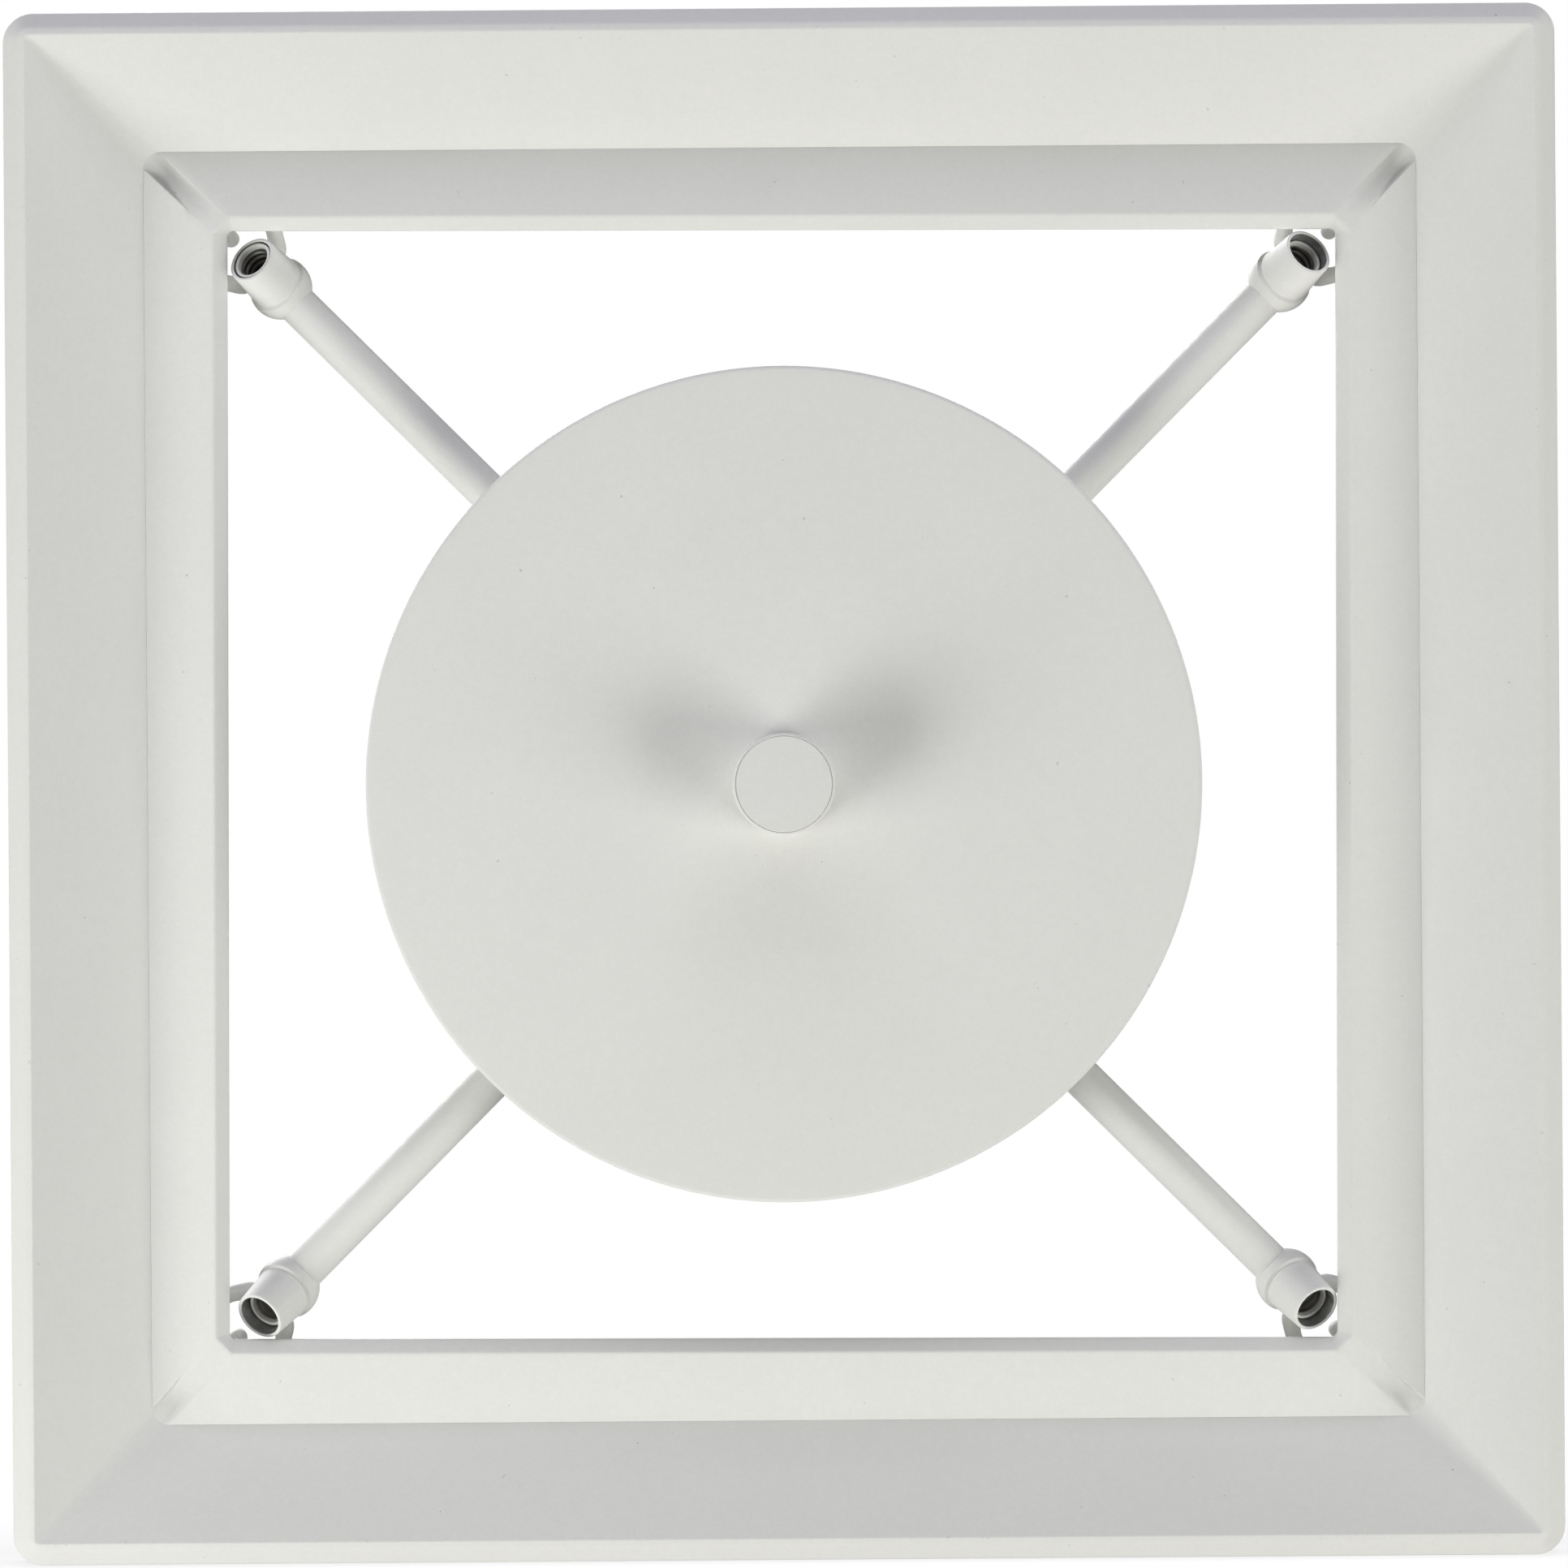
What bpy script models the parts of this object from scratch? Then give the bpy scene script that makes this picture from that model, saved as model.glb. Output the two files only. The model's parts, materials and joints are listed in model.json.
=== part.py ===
"""A square-framed bathroom extractor unit with four small lamp holders, in metres.

The unit hangs under a ceiling, or on a wall, and its front faces -Y. "Depth" is the distance in front of
the ceiling plane, so a point's world Y is minus its depth. The fan's axis is the world Y axis. The four
arms run along the diagonals of the square, which are named after the corner that each one points to.
"""

from math import cos, pi, radians, sin, sqrt

import bmesh
import bpy
from mathutils import Matrix, Vector

GAP = 0.0003                    # clearance between neighbouring pieces
SHEET = 0.0012                  # pressed steel sheet
SMALL_CHAMFER = 0.001           # broken edges of turned and moulded pieces
CUTTER_MARGIN = 0.010           # how far a cutter reaches past the wall it cuts
JOIN_OVERLAP = 0.003            # how deep a joined shape sits in the one that it joins
FRONT = Vector((0, -1, 0))      # towards the room
FACE_FRONT = Matrix.Rotation(pi / 2, 4, "X")    # local Z becomes depth
FACE_SIDE = Matrix.Rotation(pi / 2, 4, "Y")     # local Z becomes +X

# Square frame, two pressed sheets. A half width is from the centre to one side.
FRAME_HALF = 0.2975
FRAME_BACK_DEPTH = 0.037
FRAME_CORNER_RADIUS = 0.014
RIDGE_DEPTH = 0.075             # the frame's front
OUTER_LIP_WIDTH = 0.0087
OUTER_LIP_FALL = 0.0075
WIDE_BAND_WIDTH = 0.0435
WIDE_BAND_FALL = 0.026
JOINT_FLANGE = 0.006            # turned-back edges where the two sheets meet
INNER_BAND_WIDTH = 0.0265
INNER_BAND_RISE = 0.024
HIP_RADIUS = 0.0066
VALLEY_CORNER_RADIUS = HIP_RADIUS + GAP
INNER_LIP_WIDTH = 0.006
INNER_LIP_FALL = 0.0036
OPENING_CORNER_RADIUS = 0.0025
OPENING_FLANGE = 0.0095

# Corners: (name, direction across the square, how far the lamp holder sits below the cup's mouth)
CORNERS = (
    ("top_left", Vector((-1, 0, 1)).normalized(), 0.0005),
    ("top_right", Vector((1, 0, 1)).normalized(), 0.0040),
    ("bottom_left", Vector((-1, 0, -1)).normalized(), 0.0055),
    ("bottom_right", Vector((1, 0, -1)).normalized(), 0.0050),
)

# Arms, cups and the rings that carry the frame
ARM_DEPTH = 0.040
ARM_RADIUS = 0.0077
ARM_WALL = 0.0014
ARM_START = 0.0665              # from the fan's axis
BALL_REACH = 0.2730             # from the fan's axis to the ball at the arm's end
BALL_RADIUS = 0.0122
CUP_TILT = radians(45)          # the cup leans from the arm towards the room
CUP_LENGTH = 0.0206
CUP_BASE_RADIUS = 0.0110
CUP_MOUTH_RADIUS = 0.0096
CUP_BORE_RADIUS = 0.0084
CUP_FLOOR = 0.005
COLLAR_HEIGHT = 0.0035          # the groove where the cup meets its ball
COLLAR_GROOVE = 0.0003
CUP_STEP_HEIGHT = 0.0042
BALL_SHOULDER_RADIUS = 0.0118
BALL_SHOULDER_HEIGHT = 0.0027
WIRE_BORE_RADIUS = 0.003
RING_REACH = 0.2975
RING_DEPTH = 0.036
RING_RADIUS = 0.0154
RING_ROD = 0.0031

# Lamp holders: a ceramic body, a screw shell and a centre contact
LAMP_BODY_RADIUS = 0.0079
LAMP_BODY_BORE = 0.0066
LAMP_BODY_FLOOR = 0.002
SHELL_WALL = 0.0005
SHELL_RECESS = 0.002
CONTACT_RADIUS = 0.0028
CONTACT_HEIGHT = 0.0014
CONTACT_HOLE = 0.0019
LEAD_START_INSET = 0.003
LEAD_END_INSET = 0.006

# Hooks of the frame: up from the sheet, over the ring from behind, down through it
HOOK_ROD = 0.00325
HOOK_ROOT_REACH = 0.325
HOOK_ROOT_DEPTH = 0.056
HOOK_BACK_DEPTH = RING_DEPTH - RING_ROD - GAP - HOOK_ROD
HOOK_TIP_REACH = 0.3005
HOOK_TIP_DEPTH = 0.042
HOOK_BEND = 0.005

# Fan body, for a 125 mm duct
PLATE_RADIUS = 0.145
PLATE_THICKNESS = 0.002
FLANGE_RADIUS = 0.105
FLANGE_THICKNESS = 0.002
SPIGOT_RADIUS = 0.0615
SPIGOT_BORE = 0.0595
SPIGOT_LENGTH = 0.108           # behind the ceiling plane, as far as the knob stands in front
CASING_RADIUS = 0.064
CASING_BORE = 0.062
CASING_FRONT_DEPTH = 0.0515
SCREW_CIRCLE = 0.098
CEILING_HOLE_CIRCLE = 0.132
CEILING_HOLE_RADIUS = 0.00275
SCREW_RADIUS = 0.0019
SCREW_HEAD_RADIUS = 0.0038
SCREW_HEAD_HEIGHT = 0.0026
SCREW_CROWN_SHARE = 0.7         # flat part of the head
SPIGOT_CLEARANCE = 0.001        # between the spigot and the plate's bore
SPIGOT_FLANGE_DEPTH = PLATE_THICKNESS + GAP
CASING_FLANGE_DEPTH = SPIGOT_FLANGE_DEPTH + FLANGE_THICKNESS + GAP
SCREW_SEAT_DEPTH = CASING_FLANGE_DEPTH + FLANGE_THICKNESS + GAP
INLET_RADIUS = 0.100
INLET_RISE = 0.009
INLET_WALL = 0.002
INLET_FRONT_DEPTH = CASING_FRONT_DEPTH + GAP + INLET_RISE
HUB_BAND_RADIUS = 0.072
HUB_BAND_HALF_WIDTH = 0.010
HUB_BOSS_RADIUS = 0.011
HUB_BOSS_REACH = 0.092

# Front disc, its knob and the threaded spindle
DISC_RADIUS = 0.162
DISC_CENTRE_DEPTH = 0.080
DISC_RIM_DEPTH = 0.0765
DISC_RIM_ROLL = 0.004
SLEEVE_RADIUS = 0.008
SLEEVE_BACK_DEPTH = 0.071
SPINDLE_RADIUS = 0.004
SPINDLE_BORE = SPINDLE_RADIUS + 2 * GAP
SPINDLE_BACK_DEPTH = 0.053
SPINDLE_FRONT_DEPTH = 0.0955
SPINDLE_CHAMFER = 0.0008
KNOB_RADIUS = 0.0195
KNOB_FRONT_DEPTH = 0.108
KNOB_BORE_DEPTH = 0.103
BRIDGE_HALF_LENGTH = 0.099
BRIDGE_HALF_WIDTH = 0.008
BRIDGE_THICKNESS = 0.003
BRIDGE_BOSS_RADIUS = 0.010
BRIDGE_BOSS_BACK_DEPTH = 0.0545
BRIDGE_DEPTH = INLET_FRONT_DEPTH + GAP + BRIDGE_THICKNESS / 2

# Motor and impeller
MOTOR_RADIUS = 0.0247
MOTOR_WALL = 0.0015
MOTOR_BACK_DEPTH = -0.022
MOTOR_FRONT_DEPTH = 0.018
SHAFT_RADIUS = 0.003
SHAFT_BACK_DEPTH = -0.018
SHAFT_FRONT_DEPTH = 0.0485
ROTOR_RADIUS = 0.0125
STATOR_BORE = 0.0135
STATOR_RADIUS = 0.0228
STATOR_INSET = 0.007            # from each end of the case
ROTOR_INSET = 0.008
BRACKET_RING_RADIUS = 0.031
BRACKET_BACK_DEPTH = 0.008
SPOKE_COUNT = 3
SPOKE_WIDTH = 0.008
SPOKE_THICKNESS = 0.004
SPOKE_STEP = 0.001              # from the bracket's back to the spokes
HUB_RADIUS = 0.020
HUB_NOSE_SHARE = 0.6
HUB_NOSE_LENGTH = 0.007
HUB_BACK_DEPTH = 0.022
HUB_FRONT_DEPTH = 0.043
NUT_RADIUS = 0.006
NUT_HEIGHT = 0.0035
BLADE_COUNT = 6
BLADE_TIP_RADIUS = 0.0592
BLADE_CHORD = 0.030
BLADE_THICKNESS = 0.0018
BLADE_ROOT_PITCH = radians(52)
BLADE_TIP_PITCH = radians(28)
BLADE_CAMBER = 0.003
BLADE_ROOT_CHORD_SHARE = 0.8
BLADE_TIP_CHORD_SHARE = 1.15
BLADE_ROOT_CAMBER_SHARE = 0.5

# Back-draught damper in the spigot, two half-round flaps on one pin along X
PIN_DEPTH = -0.030
PIN_RADIUS = 0.0015
PIN_INSET = 0.0005              # from the spigot's outside
FLAP_RADIUS = 0.0578
FLAP_THICKNESS = 0.001
FLAP_CLEAR_OF_PIN = 0.0039
BARREL_RADIUS = 0.0033
BARREL_BORE = PIN_RADIUS + GAP
TONGUE_HEIGHT = 0.003           # the strip between a flap and its barrel
TONGUE_REACH = 0.0035
UPPER_BARRELS = ((-0.052, -0.030), (0.008, 0.028))
LOWER_BARRELS = ((-0.028, -0.008), (0.030, 0.052))
SPRING_RADIUS = 0.0030
SPRING_WIRE = 0.0004
SPRING_TURNS = 5
SPRING_HALF_LENGTH = 0.006
SPRING_POINTS_PER_TURN = 8

# Electrical pieces on the plate, beside the casing
BLOCK_REACH = 0.125
TERMINAL_BLOCK = Vector((0.016, 0.014, 0.040))
CAPACITOR = Vector((0.016, 0.020, 0.040))
CABLE_RADIUS = 0.0025
GROMMET_DEPTH = 0.0145
GROMMET_RADIUS = 0.006
GROMMET_NECK = 0.0039
GROMMET_FLANGE = 0.0015
GROMMET_CLEARANCE = 0.0006      # between each flange and the casing wall
CABLE_CLEARANCE = 0.0006        # at the terminal block and at the motor
CABLE_ROUTE = (                 # (reach, depth) from the terminal block through the grommet
    (0.104, 0.0125), (0.092, GROMMET_DEPTH), (0.056, GROMMET_DEPTH), (0.046, 0.010), (0.036, 0.003),
)
CABLE_START_DEPTH = 0.0115
CABLE_END_DEPTH = 0.001
LEAD_RADIUS = 0.0016

MATERIALS = {
    # name: (colour, roughness, metallic)
    "white_powder_coat": ((0.80, 0.80, 0.77), 0.55, 0.0),
    "galvanised_steel": ((0.62, 0.63, 0.64), 0.45, 0.9),
    "bright_steel": ((0.70, 0.70, 0.70), 0.30, 1.0),
    "nickel_brass": ((0.72, 0.68, 0.58), 0.30, 1.0),
    "glazed_ceramic": ((0.86, 0.85, 0.81), 0.25, 0.0),
    "grey_plastic": ((0.45, 0.46, 0.47), 0.50, 0.0),
    "black_rubber": ((0.03, 0.03, 0.03), 0.80, 0.0),
    "white_plastic": ((0.85, 0.85, 0.83), 0.40, 0.0),
    "copper_winding": ((0.65, 0.30, 0.16), 0.35, 1.0),
}


def clear_scene():
    for old in list(bpy.data.objects):
        bpy.data.objects.remove(old, do_unlink=True)


def new_collection(name):
    collection = bpy.data.collections.new(name)
    bpy.context.scene.collection.children.link(collection)
    return collection


def material(name):
    found = bpy.data.materials.get(name)
    if found:
        return found
    made = bpy.data.materials.new(name)
    made.use_nodes = True
    colour, roughness, metallic = MATERIALS[name]
    shader = made.node_tree.nodes["Principled BSDF"]
    shader.inputs["Base Color"].default_value = (*colour, 1)
    shader.inputs["Roughness"].default_value = roughness
    shader.inputs["Metallic"].default_value = metallic
    return made


def add_object(name, data, finish=None, place=None):
    """A part in the object's collection or, without a finish, a cutter."""
    obj = bpy.data.objects.new(name, data)
    obj.matrix_world = place or Matrix()
    if finish:
        parts.objects.link(obj)
        data.materials.append(material(finish))
    else:
        cutters.objects.link(obj)
        obj.hide_render = True
        obj.display_type = "WIRE"
    return obj


def shade(mesh):
    mesh.shade_smooth()
    mesh.set_sharp_from_angle(angle=radians(35))


def mesh_of(name, bm):
    mesh = bpy.data.meshes.new(name)
    bm.to_mesh(mesh)
    bm.free()
    shade(mesh)
    return mesh


def box(name, size, place, finish=None):
    bm = bmesh.new()
    bmesh.ops.create_cube(bm, size=1)
    bmesh.ops.scale(bm, vec=size, verts=bm.verts)
    return add_object(name, mesh_of(name, bm), finish, place)


def cylinder(name, radius, low, high, place, sides, finish=None):
    """A cylinder along the local Z of its place, from low to high."""
    bm = bmesh.new()
    bmesh.ops.create_cone(
        bm, cap_ends=True, segments=sides, radius1=radius, radius2=radius, depth=high - low,
        matrix=Matrix.Translation((0, 0, (low + high) / 2)),
    )
    return add_object(name, mesh_of(name, bm), finish, place)


def sphere(name, radius, place, finish=None):
    bm = bmesh.new()
    bmesh.ops.create_uvsphere(bm, u_segments=20, v_segments=12, radius=radius)
    return add_object(name, mesh_of(name, bm), finish, place)


def turned(name, profile, place, sides, finish=None):
    """Turns (radius, height) points about local Z. A profile clear of the axis is closed into a loop."""
    bm = bmesh.new()
    points = [bm.verts.new((radius, 0, height)) for radius, height in profile]
    pairs = list(zip(points, points[1:]))
    if profile[0][0] > 0:
        pairs.append((points[-1], points[0]))
    for pair in pairs:
        bm.edges.new(pair)
    obj = add_object(name, mesh_of(name, bm), finish, place)
    screw = obj.modifiers.new("turn", "SCREW")
    screw.steps = screw.render_steps = sides
    screw.use_merge_vertices = True
    screw.merge_threshold = 0.00001
    screw.use_smooth_shade = True
    return obj


def rod(name, path, radius, finish=None, radii=None, resolution=2):
    """A round bar along straight runs between points, with closed ends."""
    data = bpy.data.curves.new(name, "CURVE")
    data.dimensions = "3D"
    data.bevel_depth = radius
    data.bevel_resolution = resolution
    data.use_fill_caps = True
    spline = data.splines.new("POLY")
    spline.points.add(len(path) - 1)
    for i, (point, position) in enumerate(zip(spline.points, path)):
        point.co = (*position, 1)
        point.radius = radii[i] if radii else 1
    return add_object(name, data, finish)


def boolean(obj, other, operation):
    step = obj.modifiers.new(operation.lower(), "BOOLEAN")
    step.object = other
    step.operation = operation
    return obj


def cut(obj, *others):
    for other in others:
        boolean(obj, other, "DIFFERENCE")
    return obj


def join(obj, *others):
    for other in others:
        boolean(obj, other, "UNION")
    return obj


def arc(centre, first, second, radius, steps):
    """Points of a quarter turn about centre, from direction first to direction second."""
    angles = [pi / 2 * i / steps for i in range(steps + 1)]
    return [centre + radius * (cos(a) * first + sin(a) * second) for a in angles]


def diagonal_place(direction, reach=0.0, depth=ARM_DEPTH):
    """A frame whose local Z runs outwards along a diagonal."""
    turn = direction.to_track_quat("Z", "Y").to_matrix().to_4x4()
    return Matrix.Translation(direction * reach + FRONT * depth) @ turn


def around_axis(radius, count, first=0.0):
    """Points spread evenly on a circle about the fan's axis, at depth 0."""
    angles = [first + 2 * pi * i / count for i in range(count)]
    return [Vector((radius * cos(a), 0, radius * sin(a))) for a in angles]


def rounded_square(half, depth, radius, steps=4):
    """A square outline with round corners, anticlockwise as seen from the room."""
    points = []
    for side in ((1, -1), (1, 1), (-1, 1), (-1, -1)):
        centre = Vector((side[0] * (half - radius), -depth, side[1] * (half - radius)))
        start = {(1, -1): -pi / 2, (1, 1): 0, (-1, 1): pi / 2, (-1, -1): pi}[side]
        for i in range(steps + 1):
            angle = start + pi / 2 * i / steps
            points.append(centre + radius * Vector((cos(angle), 0, sin(angle))))
    return points


def pressed_sheet(name, rings):
    """A sheet that follows square rings from its outer edge to its inner edge, seen from the room."""
    bm = bmesh.new()
    loops = [[bm.verts.new(point) for point in rounded_square(*ring)] for ring in rings]
    for outer, inner in zip(loops, loops[1:]):
        for i in range(len(outer)):
            bm.faces.new((outer[i - 1], outer[i], inner[i], inner[i - 1]))
    obj = add_object(name, mesh_of(name, bm), "white_powder_coat")
    wall = obj.modifiers.new("sheet", "SOLIDIFY")
    wall.thickness = SHEET
    wall.offset = -1
    wall.use_even_offset = True
    return obj


def build_outer_frame():
    ridge_half = FRAME_HALF - OUTER_LIP_WIDTH
    valley_half = ridge_half - WIDE_BAND_WIDTH
    valley_depth = RIDGE_DEPTH - WIDE_BAND_FALL
    return pressed_sheet("outer_frame", (
        (FRAME_HALF, FRAME_BACK_DEPTH, FRAME_CORNER_RADIUS),
        (FRAME_HALF, RIDGE_DEPTH - OUTER_LIP_FALL, FRAME_CORNER_RADIUS),
        (ridge_half, RIDGE_DEPTH, FRAME_CORNER_RADIUS - OUTER_LIP_WIDTH),
        (valley_half, valley_depth, VALLEY_CORNER_RADIUS),
        (valley_half, valley_depth - JOINT_FLANGE, VALLEY_CORNER_RADIUS),
    ))


def build_inner_frame():
    base_half = FRAME_HALF - OUTER_LIP_WIDTH - WIDE_BAND_WIDTH - GAP
    base_depth = RIDGE_DEPTH - WIDE_BAND_FALL
    ridge_half = base_half - INNER_BAND_WIDTH
    opening_half = ridge_half - INNER_LIP_WIDTH
    lip_depth = base_depth + INNER_BAND_RISE - INNER_LIP_FALL
    return pressed_sheet("inner_frame", (
        (base_half, base_depth - JOINT_FLANGE, HIP_RADIUS),
        (base_half, base_depth, HIP_RADIUS),
        (ridge_half, base_depth + INNER_BAND_RISE, HIP_RADIUS),
        (opening_half, lip_depth, OPENING_CORNER_RADIUS),
        (opening_half, lip_depth - OPENING_FLANGE, OPENING_CORNER_RADIUS),
    ))


def build_frame_hook(corner, outward):
    """A bent rod: it leaves the sheet, passes behind the ring and turns forward through it."""
    root = outward * HOOK_ROOT_REACH
    tip = outward * HOOK_TIP_REACH
    back = FRONT * HOOK_BACK_DEPTH
    bend_depth = FRONT * HOOK_BEND
    path = [root + FRONT * HOOK_ROOT_DEPTH]
    path += arc(root - outward * HOOK_BEND + back + bend_depth, outward, -FRONT, HOOK_BEND, 4)
    path += arc(tip + outward * HOOK_BEND + back + bend_depth, -FRONT, -outward, HOOK_BEND, 4)
    radii = [1.0] * len(path)
    for share in (0.0, 0.5, 0.85, 1.0):
        path.append(tip + FRONT * (HOOK_TIP_DEPTH - HOOK_ROD * (1 - share)))
        radii.append(max(sqrt(1 - share * share), 0.3))
    return rod(f"frame_hook_{corner}", path, HOOK_ROD, "white_powder_coat", radii)


def build_arm(corner, outward):
    bore = ARM_RADIUS - ARM_WALL
    profile = ((bore, BALL_REACH), (ARM_RADIUS, BALL_REACH), (ARM_RADIUS, ARM_START), (bore, ARM_START))
    arm = turned(f"arm_{corner}", profile, diagonal_place(outward), 16, "white_powder_coat")
    clear_of_ball = sphere(f"cut_arm_{corner}", BALL_RADIUS + GAP, diagonal_place(outward, BALL_REACH))
    return cut(arm, clear_of_ball)


def cup_place(outward):
    axis = cos(CUP_TILT) * outward + sin(CUP_TILT) * FRONT
    turn = axis.to_track_quat("Z", "Y").to_matrix().to_4x4()
    return Matrix.Translation(outward * BALL_REACH + FRONT * ARM_DEPTH) @ turn


def build_socket_cup(corner, outward):
    """A ball on the arm's end, the cup that stands on it, and the ring welded behind the cup."""
    place = cup_place(outward)
    dome = [(BALL_RADIUS * sin(a), -BALL_RADIUS * cos(a)) for a in (pi / 2, pi / 3, pi / 6)]
    profile = [
        (0, CUP_LENGTH),
        (CUP_MOUTH_RADIUS, CUP_LENGTH),
        (CUP_BASE_RADIUS, CUP_STEP_HEIGHT),
        (CUP_BASE_RADIUS - COLLAR_GROOVE, COLLAR_HEIGHT),
        (BALL_SHOULDER_RADIUS, BALL_SHOULDER_HEIGHT),
        *dome,
        (0, -BALL_RADIUS),
    ]
    cup = turned(f"socket_cup_{corner}", profile, place, 20, "white_powder_coat")
    ring_profile = [
        (RING_RADIUS + RING_ROD * cos(a), -RING_ROD * sin(a)) for a in (pi / 4 * i for i in range(8))
    ]
    ring_place = Matrix.Translation(outward * RING_REACH + FRONT * RING_DEPTH) @ FACE_FRONT
    ring = turned(f"join_ring_{corner}", ring_profile, ring_place, 20)
    bore = cylinder(f"cut_cup_{corner}", CUP_BORE_RADIUS, CUP_FLOOR, 2 * CUP_LENGTH, place, 20)
    towards_arm = diagonal_place(outward, BALL_REACH)
    past_centre = WIRE_BORE_RADIUS / 3
    wire = cylinder(f"cut_wire_{corner}", WIRE_BORE_RADIUS, -2 * BALL_RADIUS, past_centre, towards_arm, 10)
    upward = cylinder(f"cut_floor_{corner}", WIRE_BORE_RADIUS, 0, CUP_LENGTH, place, 10)
    return cut(join(cup, ring), bore, wire, upward)


def build_lamp_holder(corner, outward, recess):
    """A ceramic body in the cup, with a screw shell and a centre contact."""
    place = cup_place(outward)
    top = CUP_LENGTH - recess
    foot = CUP_FLOOR + GAP
    floor = foot + LAMP_BODY_FLOOR
    body = (
        (LAMP_BODY_BORE, top), (LAMP_BODY_RADIUS, top), (LAMP_BODY_RADIUS, foot),
        (CONTACT_HOLE, foot), (CONTACT_HOLE, floor), (LAMP_BODY_BORE, floor),
    )
    turned(f"lamp_body_{corner}", body, place, 16, "glazed_ceramic")
    shell_radius = LAMP_BODY_BORE - GAP
    shell_bore = shell_radius - SHELL_WALL
    shell_top, shell_foot = top - SHELL_RECESS, floor + GAP
    shell = (
        (shell_bore, shell_top), (shell_radius, shell_top),
        (shell_radius, shell_foot), (shell_bore, shell_foot),
    )
    turned(f"lamp_thread_{corner}", shell, place, 16, "nickel_brass")
    head_top, shank = floor + CONTACT_HEIGHT, CONTACT_HOLE - GAP
    contact = (
        (0, head_top), (CONTACT_RADIUS, head_top), (CONTACT_RADIUS, floor + GAP),
        (shank, floor + GAP), (shank, foot + GAP), (0, foot + GAP),
    )
    turned(f"lamp_contact_{corner}", contact, place, 10, "nickel_brass")


def build_lamp_lead(corner, outward):
    """The insulated pair of wires in the arm, as one round cable."""
    reaches = (ARM_START + LEAD_START_INSET, BALL_REACH - LEAD_END_INSET)
    ends = [outward * reach + FRONT * ARM_DEPTH for reach in reaches]
    return rod(f"lamp_lead_{corner}", ends, LEAD_RADIUS, "white_plastic", resolution=1)


def build_hub_ring():
    """The band round the casing, with a socket for each arm."""
    band_low, band_high = ARM_DEPTH - HUB_BAND_HALF_WIDTH, ARM_DEPTH + HUB_BAND_HALF_WIDTH
    hub = cylinder("hub_ring", HUB_BAND_RADIUS, band_low, band_high, FACE_FRONT, 36, "white_powder_coat")
    bosses, bores = [], []
    for corner, outward, _ in CORNERS[:2]:
        place = diagonal_place(outward)
        reach = HUB_BOSS_REACH
        bosses.append(cylinder(f"join_boss_{corner}", HUB_BOSS_RADIUS, -reach, reach, place, 16))
        bore_reach = reach + CUTTER_MARGIN
        bores.append(cylinder(f"cut_boss_{corner}", ARM_RADIUS + GAP, -bore_reach, bore_reach, place, 16))
    middle = cylinder("cut_hub", CASING_RADIUS + GAP, 0, 2 * ARM_DEPTH, FACE_FRONT, 36)
    return cut(join(hub, *bosses), middle, *bores)


def screw_holes(name, circle, count, radius, first):
    """Cutters on a circle about the fan's axis, long enough for the plate and both flanges."""
    holes = []
    for i, centre in enumerate(around_axis(circle, count, first)):
        place = Matrix.Translation(centre) @ FACE_FRONT
        front = SCREW_SEAT_DEPTH + CUTTER_MARGIN
        holes.append(cylinder(f"{name}_{i + 1}", radius, -CUTTER_MARGIN, front, place, 10))
    return holes


def build_mounting_plate(fixing_holes):
    bore = SPIGOT_RADIUS + SPIGOT_CLEARANCE
    profile = ((bore, PLATE_THICKNESS), (PLATE_RADIUS, PLATE_THICKNESS), (PLATE_RADIUS, 0), (bore, 0))
    plate = turned("mounting_plate", profile, FACE_FRONT, 48, "galvanised_steel")
    ceiling_holes = screw_holes("cut_ceiling_hole", CEILING_HOLE_CIRCLE, 4, CEILING_HOLE_RADIUS, pi / 4)
    return cut(plate, *fixing_holes, *ceiling_holes)


def build_duct_spigot(fixing_holes):
    front = SPIGOT_FLANGE_DEPTH + FLANGE_THICKNESS
    profile = (
        (SPIGOT_BORE, front), (FLANGE_RADIUS, front), (FLANGE_RADIUS, SPIGOT_FLANGE_DEPTH),
        (SPIGOT_RADIUS, SPIGOT_FLANGE_DEPTH), (SPIGOT_RADIUS, -SPIGOT_LENGTH), (SPIGOT_BORE, -SPIGOT_LENGTH),
    )
    spigot = turned("duct_spigot", profile, FACE_FRONT, 48, "galvanised_steel")
    pin_place = Matrix.Translation(FRONT * PIN_DEPTH) @ FACE_SIDE
    reach = SPIGOT_RADIUS + CUTTER_MARGIN
    pin_hole = cylinder("cut_pin_hole", PIN_RADIUS + GAP, -reach, reach, pin_place, 10)
    return cut(spigot, *fixing_holes, pin_hole)


def build_fan_casing(fixing_holes):
    flange_front = CASING_FLANGE_DEPTH + FLANGE_THICKNESS
    profile = (
        (CASING_BORE, CASING_FRONT_DEPTH), (CASING_RADIUS, CASING_FRONT_DEPTH),
        (CASING_RADIUS, flange_front), (FLANGE_RADIUS, flange_front),
        (FLANGE_RADIUS, CASING_FLANGE_DEPTH), (CASING_BORE, CASING_FLANGE_DEPTH),
    )
    casing = turned("fan_casing", profile, FACE_FRONT, 48, "galvanised_steel")
    cable_place = Matrix.Translation(FRONT * GROMMET_DEPTH) @ FACE_SIDE
    outside, inside = -CASING_RADIUS - CUTTER_MARGIN, -CASING_BORE + CUTTER_MARGIN
    cable_hole = cylinder("cut_cable_hole", GROMMET_NECK + GAP, outside, inside, cable_place, 12)
    return cut(casing, *fixing_holes, cable_hole)


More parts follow.
